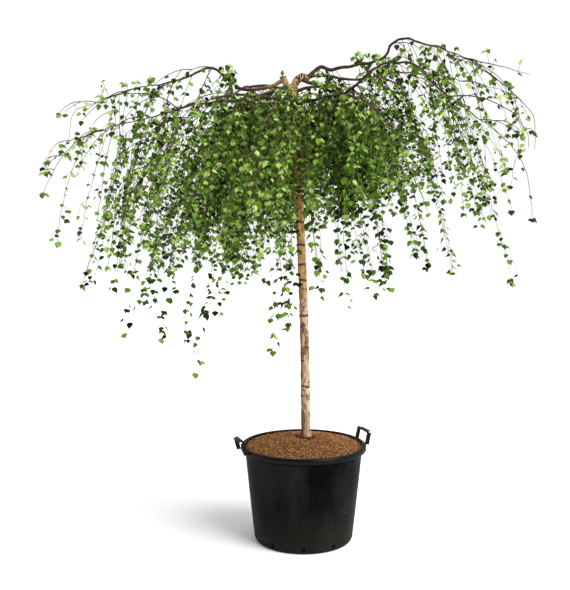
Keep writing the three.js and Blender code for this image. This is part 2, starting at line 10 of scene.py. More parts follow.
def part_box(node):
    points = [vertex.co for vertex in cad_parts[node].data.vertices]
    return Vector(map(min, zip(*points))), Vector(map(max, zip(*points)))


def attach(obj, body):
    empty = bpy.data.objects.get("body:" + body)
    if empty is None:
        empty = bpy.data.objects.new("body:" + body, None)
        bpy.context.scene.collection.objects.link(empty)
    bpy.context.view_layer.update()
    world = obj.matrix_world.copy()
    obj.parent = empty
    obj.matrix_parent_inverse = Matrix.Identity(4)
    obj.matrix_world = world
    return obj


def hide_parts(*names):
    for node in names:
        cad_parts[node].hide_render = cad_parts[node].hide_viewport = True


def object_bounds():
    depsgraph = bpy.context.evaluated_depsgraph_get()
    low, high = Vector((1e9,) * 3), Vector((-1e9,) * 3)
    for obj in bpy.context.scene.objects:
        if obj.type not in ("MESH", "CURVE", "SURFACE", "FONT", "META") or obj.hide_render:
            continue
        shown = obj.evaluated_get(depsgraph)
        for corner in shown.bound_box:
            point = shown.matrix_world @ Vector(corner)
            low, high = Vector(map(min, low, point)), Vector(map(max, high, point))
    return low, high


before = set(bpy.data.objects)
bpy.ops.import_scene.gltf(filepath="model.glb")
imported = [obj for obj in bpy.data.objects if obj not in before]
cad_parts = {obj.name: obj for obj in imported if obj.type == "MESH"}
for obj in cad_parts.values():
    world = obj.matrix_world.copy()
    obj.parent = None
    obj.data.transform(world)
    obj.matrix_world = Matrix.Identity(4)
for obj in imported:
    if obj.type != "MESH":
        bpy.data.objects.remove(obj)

CAD_LOW, CAD_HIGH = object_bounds()

# Camera: place, pitch and lens that the tub's rim and foot fit
CAMERA_PLACE = (-0.105, -4.47, 1.68)
CAMERA_PITCH = -3.82
CAMERA_LENS = 48.8
CAMERA_SENSOR = 36
CAMERA_REACH = 200

# Studio: white behind the tree, dimmer on the camera's side, and a broad soft key light from the
# upper right
FLOOR_RADIUS = 40
SKY_FRONT = 0.28
SKY_BAND = (-0.35, 0.15)
SKY_STRENGTH = 1.05
SUN_PLACE = (3, -4, 6)
SUN_FROM = (0.74, -0.55, 1.0)
SUN_STRENGTH = 3.75
SUN_ANGLE = 42

# A turned body closes this near to its axis
CORE_RADIUS = 0.004
# How near two spots count as one, and how much of a normal lies along an axis that its face looks along
SAME_SPOT = 1e-4
FACING = 0.9

# Tub
TUB_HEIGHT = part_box("tub")[1].z
RIM_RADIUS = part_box("tub")[1].x
TUB_WALL = 0.005
FOOT_RADIUS = 0.262
FOOT_ROUND = 0.015
# The base lies a little above the floor, inside a ring that it reaches between these two insets
BASE_RISE = 0.004
FOOT_RING = (0.030, 0.022)
WALL_FOOT_RADIUS = 0.279
WALL_TOP_RADIUS = 0.331
WALL_STEPS = 10
WALL_BELLY = 0.0012
RIM_DEPTH = 0.031
RIM_LIP = 0.017
# Rounds of the rim: lower outer edge, upper outer edge, inner edge
RIM_ROUNDS = (0.007, 0.013, 0.008)
TUB_SIDES = 112
TUB_EDGE = 0.0008
DRAIN_COUNT = 10
DRAIN_RADIUS = 0.0132
DRAIN_DEPTH = 0.06
DRAIN_FROM = -91.5
DRAIN_HEIGHT = 0.028
SLOT_HEADINGS = (-38, 142)
SLOT_SIZE = (0.030, 0.019, 0.019)
SLOT_GAP = 0.001

# Handles: heading, and by how many degrees each leans out
HANDLES = {"handle_right": (19, 12), "handle_left": (199, 16)}
HANDLE_WIDTH = 0.150
HANDLE_RISE = 0.058
HANDLE_STRAP = 0.013
HANDLE_THICK = 0.007
# Rounds of the loop's outer and inner corners, and of the edges of its flanges and of all of it
HANDLE_OUTER_ROUND = 0.018
HANDLE_INNER_ROUND = 0.009
FLANGE_EDGE = 0.0016
HANDLE_EDGE = 0.0011
HANDLE_LIP = 0.023
HANDLE_LIP_THICK = 0.0045
HANDLE_LIP_SHORT = 0.040
HANDLE_RIB = 0.008
HANDLE_RIB_DEPTH = 0.015
HANDLE_RIB_SHORT = 0.008
HANDLE_FOOT = 0.020
HANDLE_REACH = RIM_RADIUS + 0.004

# Mulch
SOIL_EDGE_HEIGHT = 0.527
SOIL_TOP_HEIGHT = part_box("soil")[1].z
SOIL_SEAT_RADIUS = 0.078
SOIL_RADIUS = WALL_TOP_RADIUS - TUB_WALL - 0.0003
SOIL_SHOULDER = (0.8, 0.35)
SOIL_CROWN = (0.5, 0.76)
SOIL_FOOT_HEIGHT = 0.022
SOIL_RINGS = 30
SOIL_SIDES = 96
CHIP_COUNT = 9600
CHIP_EDGE_GAP = 0.009
CHIP_LENGTH = (0.0035, 0.0105)
CHIP_WIDTH = (0.25, 0.65)
CHIP_THICK = (0.0008, 0.0022)
CHIP_TILT = (-28, 28)
CHIP_ROLL = (-25, 25)
CHIP_JITTER = (0.55, 1.1)
CHIP_LIFT = (0.0005, 0.0060)
CHIP_SINK = 0.001
# Round the stem no chips lie at all, then they are heaped up, and up to a wider reach shorter and darker
CHIP_FREE_REACH = 0.031
CHIP_HEAP_REACH = 0.042
CHIP_HEAP_WIDTH = 0.016
CHIP_HEAP_RISE = 1.4
CHIP_NEAR_REACH = 0.062
CHIP_NEAR_SHORT = 0.8
# Tones of the chips: dark and light colour
MULCH = {
    "mulch_pale": ((200, 150, 98), (244, 208, 158)),
    "mulch_tan": ((164, 108, 58), (214, 156, 94)),
    "mulch_brown": ((124, 76, 38), (180, 120, 68)),
    "mulch_dark": ((56, 33, 19), (106, 67, 39)),
}
# Which tone a chip takes while its draw is under a limit, in the open and near the stem
CHIP_TONES = ((0.09, "mulch_pale"), (0.43, "mulch_tan"), (0.79, "mulch_brown"), (1, "mulch_dark"))
CHIP_TONES_NEAR = ((0.62, "mulch_dark"), (1, "mulch_brown"))

# Stem
STEM_FOOT = Vector((0.013, 0.030, SOIL_TOP_HEIGHT))
STEM_FORK_HEIGHT = 2.515
STEM_LEAN = (-0.084, -0.030)
STEM_BOW = 0.020
STEM_FOOT_RADIUS = 0.027
STEM_TOP_RADIUS = 0.022
FLARE = 0.008
FLARE_HEIGHT = 0.022
NODE_SWELL = 0.0012
NODE_SPACING = 0.118
GRAFT_SWELL = 0.008
GRAFT_LENGTH = 0.090
STEM_SIDES = 32
STEM_STEP = 0.012
BARK_VOXEL = 0.0031
# Heights on the bark: where it turns brown, where the head's tan begins, and a band of pale marks
BARK_BROWN = (1.36, 1.72)
BARK_HEAD = (2.475, 2.515)
PALE_FOOT = (2.574, 2.579)
PALE_TOP = (2.598, 2.592)
# Rings of the bark: height, heading where the ring is strongest, half of the turn that it takes, strength
RINGS = ((0.643, 205, 45, 0.75), (0.691, 280, 50, 0.50), (0.808, 215, 50, 0.95), (0.863, 260, 150, 0.85),
         (0.889, 330, 40, 0.75), (1.009, 215, 55, 0.95), (1.085, 320, 75, 0.90), (1.201, 195, 50, 1.00),
         (1.266, 265, 150, 1.00), (1.414, 270, 110, 0.55), (1.464, 270, 170, 1.00), (1.500, 215, 50, 1.00),
         (1.553, 260, 160, 0.95), (1.660, 250, 150, 0.90), (1.790, 290, 150, 0.80), (1.885, 200, 60, 0.90),
         (2.020, 270, 150, 0.90), (2.130, 300, 80, 0.80), (2.240, 250, 150, 0.90), (2.330, 280, 120, 0.80))
RING_HALF = 0.0076
RING_FAR = 0.02
# The stem's side that is painted in shade, turned away from the key light
SHADE_HEADING = 192
# Masks that the bark's finish reads
BARK_MASKS = ("ring", "cut", "hump", "foot", "shade", "peel")
PEEL_FROM = 0.11
PEEL_STEEP = 2.2
# The root flare has lobes, which fade by about two thirds over this height
LOBES = 5
LOBE_HEIGHT = 0.035

# The crown's own upright axis, and the two stubs that the stem forks into: heading, reach, height, radius
CROWN_X = -0.060
CROWN_Y = 0.0
STUBS = ((180, 0.056, 2.584, 0.021), (0, 0.044, 2.592, 0.020))
STUB_ROOT_DEPTH = 0.045
# The right stub arches over into the limbs that leave it
HUMP = ((-0.050, 0.000, 2.548), (-0.036, -0.001, 2.570), (-0.012, -0.002, 2.583), (0.010, -0.003, 2.577))
HUMP_SLIM = 1.06
STUB_SLIM = 0.86
FORK_SIZE = (0.030, 0.027, 0.030)
# Where the left stub's cut end and the hump's bark begin
CUT_DEPTH = 0.008
CUT_X = -0.085
HUMP_X = -0.060
HUMP_HEIGHT = 2.561
HUMP_SLOPE = 0.3
HUMP_SLOPE_X = -0.012

# Main limbs: heading, how many stations are bare bough, radius, and stations of reach and height
LIMBS = {
    "left_upper": (172, 6, 0.011, (
        (0.050, 2.570), (0.127, 2.538), (0.281, 2.525), (0.451, 2.642), (0.554, 2.613), (0.617, 2.585),
        (0.760, 2.566), (0.897, 2.553), (1.141, 2.464), (1.262, 2.415), (1.300, 2.260))),
    "left_lower": (200, 5, 0.010, (
        (0.030, 2.532), (0.187, 2.474), (0.378, 2.425), (0.532, 2.411), (0.629, 2.380),
        (0.782, 2.325), (1.073, 2.236), (1.200, 2.150), (1.275, 2.040), (1.325, 1.930))),
    "right_upper": (-8, 6, 0.011, (
        (0.076, 2.572), (0.143, 2.631), (0.225, 2.620), (0.474, 2.666), (0.532, 2.738), (0.606, 2.768),
        (0.750, 2.720), (0.892, 2.679), (1.071, 2.579), (1.180, 2.440), (1.230, 2.260))),
    "right_middle": (14, 4, 0.009, (
        (0.074, 2.584), (0.170, 2.600), (0.370, 2.586), (0.600, 2.640),
        (0.720, 2.645), (1.044, 2.606), (1.280, 2.572), (1.390, 2.520), (1.440, 2.430))),
    "right_lower": (-30, 5, 0.010, (
        (0.052, 2.566), (0.251, 2.486), (0.334, 2.471), (0.488, 2.580), (0.570, 2.600),
        (0.702, 2.577), (0.847, 2.430), (1.125, 2.210), (1.260, 2.040), (1.300, 1.797))),
}

# The other boughs arch evenly: heading, height at the head, rise of the crest, reach and drop of the end
ARCHES = {
    "front_left": (230, 2.455, -0.020, 1.120, 0.550),
    "front": (260, 2.425, -0.025, 1.080, 0.580),
    "front_right": (303, 2.440, -0.015, 1.090, 0.555),
    "back_right": (45, 2.505, 0.080, 1.240, 0.560),
    "back": (88, 2.478, 0.100, 1.180, 0.600),
    "back_left": (130, 2.508, 0.080, 1.260, 0.560),
}
ARCH_THICK = 0.010
ARCH_PARTS = (0, 0.14, 0.3, 0.46, 0.6, 0.76, 0.9, 1)
ARCH_BARE = 4
ARCH_CREST = 0.34
ARCH_TUCK = 0.06
ARCH_TUCK_FROM = 0.7
WANDER = 0.022
WANDER_LENGTH = 0.640

# Branches that leave a main limb: limb, part of its length, turn, and steps of reach and height from there
BRANCHES = (
    ("right_upper", 0.66, 3, ((0.06, -0.05), (0.15, -0.11), (0.27, -0.22), (0.34, -0.31), (0.35, -0.48))),
    ("right_upper", 0.50, 14, ((0.07, -0.01), (0.16, -0.09), (0.19, -0.14))),
    ("right_lower", 0.56, 16, ((0.09, 0.00), (0.20, -0.03), (0.30, -0.09), (0.37, -0.18), (0.385, -0.26))),
    ("right_upper", 0.64, -9, ((0.09, -0.03), (0.20, -0.06), (0.33, -0.11))),
    ("left_upper", 0.50, 22, ((0.06, -0.06), (0.10, -0.13), (0.14, -0.22))),
    ("left_upper", 0.62, -14, ((0.12, -0.02), (0.26, -0.07), (0.38, -0.16))),
    ("left_lower", 0.42, 14, ((0.10, 0.05), (0.24, 0.06), (0.40, 0.02), (0.52, -0.06))),
    ("left_lower", 0.25, 40, ((0.006, -0.09), (0.013, -0.19), (0.016, -0.30))),
)

# Shoots that leave the stem of the tree under its head: heading, height
INNER = ((20, 2.385), (92, 2.415), (164, 2.360), (236, 2.330), (308, 2.345))
INNER_REACH = 0.455
INNER_STATIONS = ((0.3, 0.025), (0.55, 0.020), (0.8, -0.035), (1, -0.110))

# Long hanging tails that make the crown's lower outline: heading, reach and height of the tip, and for
# those that leave their limb further out than the others, the part of that reach where they do
TAILS = {
    "left_upper": ((167, 0.899, 1.292), (171, 0.628, 1.081), (175, 1.211, 1.392), (160, 0.800, 1.450),
                   (172, 0.98, 1.46, 0.9), (176, 1.03, 1.74, 0.93), (169, 1.00, 1.86, 0.95)),
    "left_lower": ((195, 1.145, 1.417), (205, 0.961, 1.172), (198, 0.780, 1.300), (210, 1.060, 1.520),
                   (181, 1.00, 1.43, 0.9), (196, 0.985, 1.40, 0.85), (187, 1.05, 1.68, 0.93),
                   (192, 0.99, 1.80, 0.93), (184, 0.95, 1.62, 0.9)),
    "front_left": ((217, 0.824, 1.155), (239, 0.876, 1.022), (219, 0.948, 1.358), (243, 0.784, 1.314),
                   (238, 0.593, 1.560), (244, 0.523, 1.560)),
    "front": ((249, 0.747, 1.452), (262, 0.610, 1.114), (268, 0.560, 1.300), (286, 0.520, 1.370),
              (248, 0.649, 1.450), (250, 0.535, 1.500), (267, 0.600, 1.225)),
    "front_right": ((299, 0.572, 1.330), (307, 0.755, 1.586), (306, 0.492, 1.450), (322, 0.483, 1.402),
                    (312, 0.600, 1.500), (318, 0.560, 1.370)),
    "right_lower": ((340, 0.879, 1.485), (322, 0.640, 1.402), (334, 0.695, 1.579), (350, 1.030, 1.850),
                    (340, 0.92, 2.00, 0.85), (345, 0.96, 2.04, 0.88), (330, 0.560, 1.440),
                    (345, 1.04, 1.93, 0.85), (349, 1.08, 1.86, 0.90)),
    "right_upper": ((354, 1.011, 1.732), (344, 0.735, 1.593), (356, 1.190, 1.813), (358, 1.100, 1.800),
                    (352, 0.94, 2.04, 0.88), (356, 0.90, 2.00, 0.85), (350, 0.98, 1.96, 0.88),
                    (352, 1.06, 1.88, 0.90), (354, 0.93, 1.80, 0.85)),
    "right_middle": ((9, 1.290, 1.409), (14, 0.800, 1.500), (6, 1.080, 1.780), (12, 0.952, 1.462),
                     (4, 0.96, 2.02, 0.88), (8, 0.92, 1.98, 0.85), (7, 1.10, 1.90, 0.90)),
    "back_right": ((33, 0.906, 1.560), (36, 0.673, 1.361)),
    "back": ((95, 0.620, 1.085), (80, 0.930, 1.350)),
    "back_left": ((138, 0.596, 1.208), (125, 1.000, 1.240)),
}

# Wood
BOUGH_TIP_RADIUS = 0.0052
BOUGH_TAPER = 1.2
BOUGH_SIDES = 16
BOUGH_STEP = 0.009
LIMB_END_RADIUS = 0.0012
LIMB_END_TAPER = 0.42
LIMB_SLIM = 0.93
COLLAR = 0.45
COLLAR_LENGTH = 0.035
# How far from the head a limb is tan: the one that is so for longer, and the others
TAN_LENGTHS = {"left_upper": 0.16}
TAN_LENGTH = 0.01
BOUGH_RING_GAP = 0.055
BOUGH_RING_WANDER = 0.012
BOUGH_RING_HALF = 0.0035
LIMB_LINE_STEPS = 8
LIMB_KINKS = (0.007, 0.05)
# Kinks grow in over the first points of a line, and each line draws its own start in their noise
KINK_POINTS = 8
KINK_START = 50
# First and last radius
BRANCH_RADIUS = (0.0036, 0.0012)
INNER_RADIUS = (0.0046, 0.0015)
SHOOT_RADIUS = (0.0027, 0.0012)
STRAND_RADIUS = (0.0018, 0.0011)
SPRAY_RADIUS = (0.0011, 0.0007)
TUFT_RADIUS = (0.0014, 0.0008)
# Size and wave length of the kinks of each kind of twig
BRANCH_KINKS = (0.006, 0.06)
SHOOT_KINKS = (0.010, 0.09)
STRAND_KINKS = (0.008, 0.07)

# Where the leaves begin on a limb
LIMB_LEAFY_FROM = 0.42
ARCH_LEAFY_FROM = 0.10
BRANCH_LEAFY_FROM = 0.45

# Side shoots of a limb
SHOOTS = 12
BRANCH_SHOOTS = 3
INNER_SHOOTS = 6
SHOOT_FROM = 0.20
SHOOT_TO = 0.97
SHOOT_TURN = (28, 78)
SHOOT_LENGTH = (0.140, 0.400)
SHOOT_LIFT = (0.0, 0.26)
SHOOT_BEND = 0.55
SHOOT_SPARSE = 0.35
SHOOT_STEPS = 7
# Towards the end of a limb its shoots get shorter
SHOOT_SHORT_FROM = 0.6
SHOOT_SHORT = 0.45
# A finer shoot that leaves each: where on it, turned by how much, and its part of the length and lift
FINER_PART = (0.3, 0.6)
FINER_TURN = (25, 70)
FINER_LENGTH = 0.55
FINER_LIFT = 0.5
UPRIGHTS = 2
UPRIGHT_PART = (0.30, 0.92)
UPRIGHT_LENGTH = (0.04, 0.09)
UPRIGHT_LEAN = (0.1, 0.5)
# Leafy tufts: limb, and for each the part of its length and the height, below zero for one that hangs
TUFTS = (
    ("right_upper", ((0.545, 0.030),)),
    ("left_upper", ((0.225, 0.075), (0.240, 0.085), (0.215, 0.045), (0.230, -0.060), (0.245, -0.080),
                    (0.210, -0.070), (0.255, 0.055), (0.235, 0.030), (0.035, -0.045), (0.050, -0.060),
                    (0.075, -0.050))),
    ("left_lower", ((0.055, -0.050), (0.080, 0.040), (0.110, -0.060))),
    ("right_upper", ((0.600, 0.040), (0.395, 0.050), (0.060, -0.030), (0.195, 0.050), (0.210, -0.050),
                     (0.225, 0.070), (0.235, -0.070), (0.250, 0.060), (0.260, -0.080), (0.275, 0.040),
                     (0.290, -0.090), (0.305, -0.060), (0.325, -0.100), (0.470, 0.060), (0.480, -0.070),
                     (0.500, -0.100))),
    ("right_middle", ((0.300, 0.060), (0.360, 0.060))),
    ("right_lower", ((0.060, 0.030), (0.090, 0.040), (0.120, 0.045), (0.150, 0.050))),
    ("front", ((0.055, 0.060), (0.085, 0.085), (0.030, 0.060), (0.065, 0.100))),
    ("front_right", ((0.020, 0.035),)),
    ("front_left", ((0.060, 0.050), (0.085, 0.075), (0.110, 0.060))),
    ("front_right", ((0.060, 0.040), (0.090, 0.060))),
)
SPRIG_HEIGHT = 0.036

# Hanging strands
STRANDS = {
    "left_upper": 42, "left_lower": 78, "right_upper": 42, "right_middle": 50, "right_lower": 76,
    "front_left": 52, "front": 68, "front_right": 68, "back_right": 49, "back": 54, "back_left": 46,
}
INNER_STRANDS = 44
BRANCH_STRANDS = 5
STRAND_FAN = 55
STRAND_LEAN = (0.06, 0.66)
STRAND_PART = (0.30, 1.0)
STRAND_LEAST = 0.10
STRAND_STEP = 0.055
STRAND_PHASE = (-0.6, 0.6)
# Part of a twig where the first strand may leave it, and the length after that
STRAND_ROOTS = (0.05, 0.93)
STRAND_SWAY = (0.010, 0.034)
STRAND_SAG = 1.16
STRAND_ARC = 1.3
TAIL_ARC = 1.12
TAIL_FROM = 0.62
TAIL_LIFT = 0.045
SWAY_WAVES = 0.85
STRAND_START = 1.6
STRAND_START_LEFT = 1.35
STRAND_CARRY_FROM = 0.03
STRAND_BARE = 0.05
# How low the crowd of strands hangs, from left to right: x and height
HEM = ((-1.45, 2.08), (-1.30, 1.92), (-1.14, 1.66), (-0.90, 1.61), (-0.60, 1.58), (-0.30, 1.49),
       (-0.16, 1.55), (0.00, 1.77), (0.26, 1.85), (0.50, 1.91), (0.80, 1.88), (1.10, 1.96), (1.40, 2.12))
# Leaves and strands thin out towards the edge of the crown, between two reaches that differ from its
# left to its right
EDGE_SIDES = (-1, 0, 1)
EDGE_FROM = (0.76, 0.45, 0.64)
EDGE_TO = (1.26, 1.15, 1.12)
EDGE_SPARSE = 0.93
EDGE_THIN = 0.9
EDGE_MARGIN = 0.005
# They thin out as well above a line, where the limbs stand clear of the crowd: x and height
OPEN = ((-1.40, 2.00), (-1.16, 2.00), (-1.12, 2.34), (-0.99, 2.34), (-0.94, 1.88), (-0.80, 2.00),
        (-0.66, 2.14), (-0.54, 2.27), (-0.41, 2.42), (-0.20, 2.50), (0.22, 2.50), (0.40, 2.49),
        (0.60, 2.44), (0.68, 2.32), (0.80, 2.20), (0.95, 2.10), (1.30, 1.96))
OPEN_BAND = (-0.04, 0.08)
OPEN_REACH = (0.18, 0.36)
OPEN_THIN = 1.7
OPEN_SPARSE = 0.74
OPEN_SHOOTS = 0.55
OPEN_BARE = 0.50
# The ends of the limbs carry little
FAR_REACH = (0.92, 1.14)
FAR_FROM = (2.15, 2.35)
FAR_SPARSE = 0.88
FAR_THIN = 1.9
# Across the hem, within this height of it, leaves get sparser, larger and darker; the darker tone is
# painted shade
FRINGE = 0.24
FRINGE_THIN = 1.25
FRINGE_SIZE = 0.28
FRINGE_TONE = 0.20

# Small side twigs of a strand
SPRAY_SPACING = 0.110
SPRAY_LENGTH = (0.030, 0.110)
SPRAY_SPREAD = (0.6, 1.5)
SPRAY_END_GAP = 0.05
SPRAY_OUT = 0.55
SPRAY_FALL = 0.8
SPRAY_LEAFY_FROM = 0.012
SPRAY_PAIRS = 0.4

# Leaves along each kind of twig: spacing, and how far from its root they begin
LIMB_LEAVES = (0.040, 0.0)
SHOOT_LEAVES = (0.050, 0.03)
FINER_LEAVES = (0.045, 0.02)
TUFT_LEAVES = (0.010, 0.004)
# Tones from 0, the darkest, to 1
LIMB_TONE = 0.55
TAIL_TONE = 0.5
SHOOT_TONE_SPREAD = 0.4
STRAND_TONE_SPREAD = 0.5
LEAF_TONE_SPREAD = 0.7
TIP_TONE = 0.10

# Leaves
# The leaves' own spread of greens, widened into painted shade at the deep end and painted highlight at the
# light end
LEAF_TONES = {
    "deep": (18, 33, 4), "green": (44, 73, 11), "mid": (78, 112, 25), "fresh": (120, 158, 54),
    "light": (162, 188, 100),
}
# How often leaves stand in pairs, and how much less often at the crown's edge
LEAF_PAIRS = 0.6
EDGE_PAIRS_LESS = 0.6
PAIR_TURN = (60, 150)
TIP_PAIR_TURN = (80, 180)
TIP_FROM = 0.8
LEAF_SPACING = 0.0262
LEAF_SPREAD = (0.7, 1.3)
LEAF_LENGTH = (0.0175, 0.028)
LEAF_TIP = 1.12
LEAF_WIDTH = 0.97
LEAF_FOLD = (0.10, 0.34)
LEAF_TURN = (127, 187)
LEAF_DROOP = (4, 52)
LEAF_SWING = (-40, 40)
LEAF_ROLL = (-38, 38)
LEAF_CURL = 0.16
STALK_LENGTH = (0.010, 0.019)
STALK_FALL = (35, 80)
STALK_RADIUS = 0.0006
STALK_SLIM = 0.7
# Half of the blade's outline: part of its length, and half width as a part of its length
LEAF_OUTLINE = ((0.03, 0.28), (0.22, 0.50), (0.42, 0.44), (0.62, 0.29), (0.82, 0.12))
LEAF_RIB = (0, 0.36, 0.66, 1)
# In front of the stem the leaves are sparser: half width of that strip, the part that is left out,
# and its top
STEM_STRIP = 0.032
STEM_STRIP_SPARSE = 0.42
STEM_STRIP_TOP = 2.40
# How far a leaf may hang out of the solids' box, and how far its root keeps inside it
BOX_MARGIN = 0.025
BOX_GAP = 0.012
# How far roots keep from the stem, up to its head
STEM_GAP = 0.012
STEM_GAP_TOP = 2.6


def paint(red, green, blue):
    """A colour that is picked on a screen, as the shader takes it."""
    parts = [value / 255 for value in (red, green, blue)]
    return (*[p / 12.92 if p <= 0.04045 else ((p + 0.055) / 1.055) ** 2.4 for p in parts], 1.0)


class Seeded:
    """Repeatable random numbers, by the same rule as the solids."""

    def __init__(self, seed):
        self.state = (seed * 7919 + 104729) % 2 ** 32

    def __call__(self):
        self.state = (self.state * 1664525 + 1013904223) % 2 ** 32
        return self.state / 2 ** 32

    def between(self, span):
        return span[0] + (span[1] - span[0]) * self()


class Value:
    """A socket of a finish. Arithmetic on it adds the nodes that work it out."""

    def __init__(self, finish, socket):
        self.finish = finish
        self.socket = socket

    def maths(self, operation, first, second):
        return self.finish.node("ShaderNodeMath", {"operation": operation}, {0: first, 1: second})

    def __add__(self, other):
        return self.maths("ADD", self, other)

    def __radd__(self, other):
        return self.maths("ADD", other, self)

    def __sub__(self, other):
        return self.maths("SUBTRACT", self, other)

    def __rsub__(self, other):
        return self.maths("SUBTRACT", other, self)

    def __mul__(self, other):
        return self.maths("MULTIPLY", self, other)

    def __rmul__(self, other):
        return self.maths("MULTIPLY", other, self)


class Nodes:
    """A tree of nodes in the making."""

    def __init__(self, tree):
        self.tree = tree

    def feed(self, socket, value):
        if isinstance(value, Value):
            self.tree.links.new(value.socket, socket)
        else:
            socket.default_value = value

    def node(self, kind, settings=None, sockets=None, output=0):
        """A node with its settings, then the values or links of its sockets."""
        made = self.tree.nodes.new(kind)
        for name, value in (settings or {}).items():
            if name == "stops":
                stops = made.color_ramp.elements
                while len(stops) < len(value):
                    stops.new(1)
                for stop, (position, colour) in zip(stops, value):
                    stop.position = position
                    stop.color = colour
            else:
                setattr(made, name, value)
        for name, value in (sockets or {}).items():
            self.feed(made.inputs[name], value)
        return Value(self, made.outputs[output])

    def place(self, scale=(1, 1, 1), move=(0, 0, 0)):
        """Object coordinates, stretched and moved."""
        spot = self.node("ShaderNodeTexCoord", output="Object")
        return self.node("ShaderNodeMapping", None, {"Vector": spot, "Scale": scale, "Location": move})

    def grain(self, scale, stretch=(1, 1, 1), detail=3, roughness=0.5, warp=0, move=(0, 0, 0)):
        """Noise from 0 to 1."""
        return self.node("ShaderNodeTexNoise", None, {
            "Vector": self.place(stretch, move), "Scale": scale, "Detail": detail,
            "Roughness": roughness, "Distortion": warp})

    def height(self):
        """How high a point is above the floor."""
        spot = self.node("ShaderNodeTexCoord", output="Object")
        return self.node("ShaderNodeSeparateXYZ", None, {0: spot}, output="Z")

    def mask(self, name):
        """A mask that is kept in the mesh."""
        return self.node("ShaderNodeAttribute", {"attribute_name": name}, output="Fac")

    def window(self, value, low, high):
        """0 where the value is low, 1 where it is high."""
        return self.node("ShaderNodeMapRange", {"clamp": True}, {
            "Value": value, "From Min": low, "From Max": high, "To Min": 0, "To Max": 1})

    def ramp(self, value, stops):
        return self.node("ShaderNodeValToRGB", {"stops": stops}, {0: value})

    def mix(self, factor, first, second):
        return self.node("ShaderNodeMix", {"data_type": "RGBA"}, {0: factor, 6: first, 7: second}, output=2)


class Finish(Nodes):
    """A material in the making: its shader, and the nodes that feed it."""

    def __init__(self, name, colour, roughness, specular=0.5):
        self.material = bpy.data.materials.new(name)
        self.material.use_nodes = True
        self.material.diffuse_color = colour
        super().__init__(self.material.node_tree)
        self.shader = self.tree.nodes["Principled BSDF"]
        self.set("Base Color", colour)
        self.set("Roughness", roughness)
        self.set("Specular IOR Level", specular)

    def set(self, socket, value):
        self.feed(self.shader.inputs[socket], value)

    def relief(self, height, distance, strength=1.0):
        self.set("Normal", self.node("ShaderNodeBump", None, {
            "Height": height, "Distance": distance, "Strength": strength}))


# Finishes

def tub_plastic():
    finish = Finish("tub_plastic", paint(9, 10, 10), 0.5, 0.035)
    cloud = finish.grain(5, detail=5, roughness=0.62)
    streak = finish.grain(5, (1, 1, 0.35), detail=5, roughness=0.6, move=(3, 1, 0))
    scratch = finish.grain(26, (1, 0.06, 1), detail=2, warp=1.2)
    black = finish.mix(finish.window(cloud, 0.35, 0.68), paint(1, 1, 2), paint(6, 6, 7))
    dust_and_shade = finish.mix(finish.window(streak, 0.46, 0.82), black, paint(38, 39, 36))
    low = finish.window(finish.height() + cloud * 0.1, 0.34, 0.06)
    dust_and_shade = finish.mix(low * 0.6, dust_and_shade, paint(37, 39, 33))
    rim_foot = TUB_HEIGHT - RIM_DEPTH
    # Painted shadow: the wall is near black in a band just under the rim, where the rim's shade falls
    under = finish.window(finish.height(), rim_foot - 0.017, rim_foot - 0.005)
    dust_and_shade = finish.mix(under * 0.9, dust_and_shade, paint(1, 1, 1))
    high = finish.window(finish.height(), rim_foot - 0.002, rim_foot + 0.002)
    # Painted sheen: the rim's colour is a little lighter and bluer than the wall's
    rim = finish.mix(finish.window(cloud, 0.3, 0.7), paint(3, 4, 6), paint(12, 15, 21))
    line = finish.window(scratch, 0.74, 0.78)
    colour = finish.mix(high, dust_and_shade, rim)
    finish.set("Base Color", finish.mix(line * 0.35, colour, paint(80, 84, 84)))
    finish.set("Roughness", 0.36 + cloud * 0.30 - high * 0.06 + under * 0.3)
    finish.set("Coat Weight", high * 0.20)
    finish.set("Coat Roughness", 0.22)
    finish.relief(finish.grain(420, detail=2) * 0.5 + cloud, 0.0006, 0.5)
    return finish.material


def soil_earth():
    finish = Finish("soil_earth", paint(60, 40, 25), 0.95, 0.2)
    crumb = finish.grain(150, detail=5, roughness=0.7)
    # Painted shade: below its top edge the soil is near black, where the tub's wall hides it and it shows
    # only at the seam and through the drain holes and slots
    inside = finish.window(finish.height(), SOIL_EDGE_HEIGHT - 0.010, SOIL_EDGE_HEIGHT)
    finish.set("Base Color", finish.mix(inside, paint(9, 7, 6), finish.ramp(crumb, (
        (0.30, paint(48, 28, 16)), (0.55, paint(108, 68, 38)), (0.75, paint(156, 106, 62))))))
    finish.relief(crumb, 0.004)
    return finish.material


def chip_bark(name, dark, light):
    """One tone of the shredded bark, darker in its pores."""
    finish = Finish(name, light, 0.92, 0.25)
    fibre = finish.grain(260, detail=4, roughness=0.7)
    finish.set("Base Color", finish.mix(finish.window(fibre, 0.35, 0.62), dark, light))
    finish.relief(fibre, 0.0015, 0.7)
    return finish.material


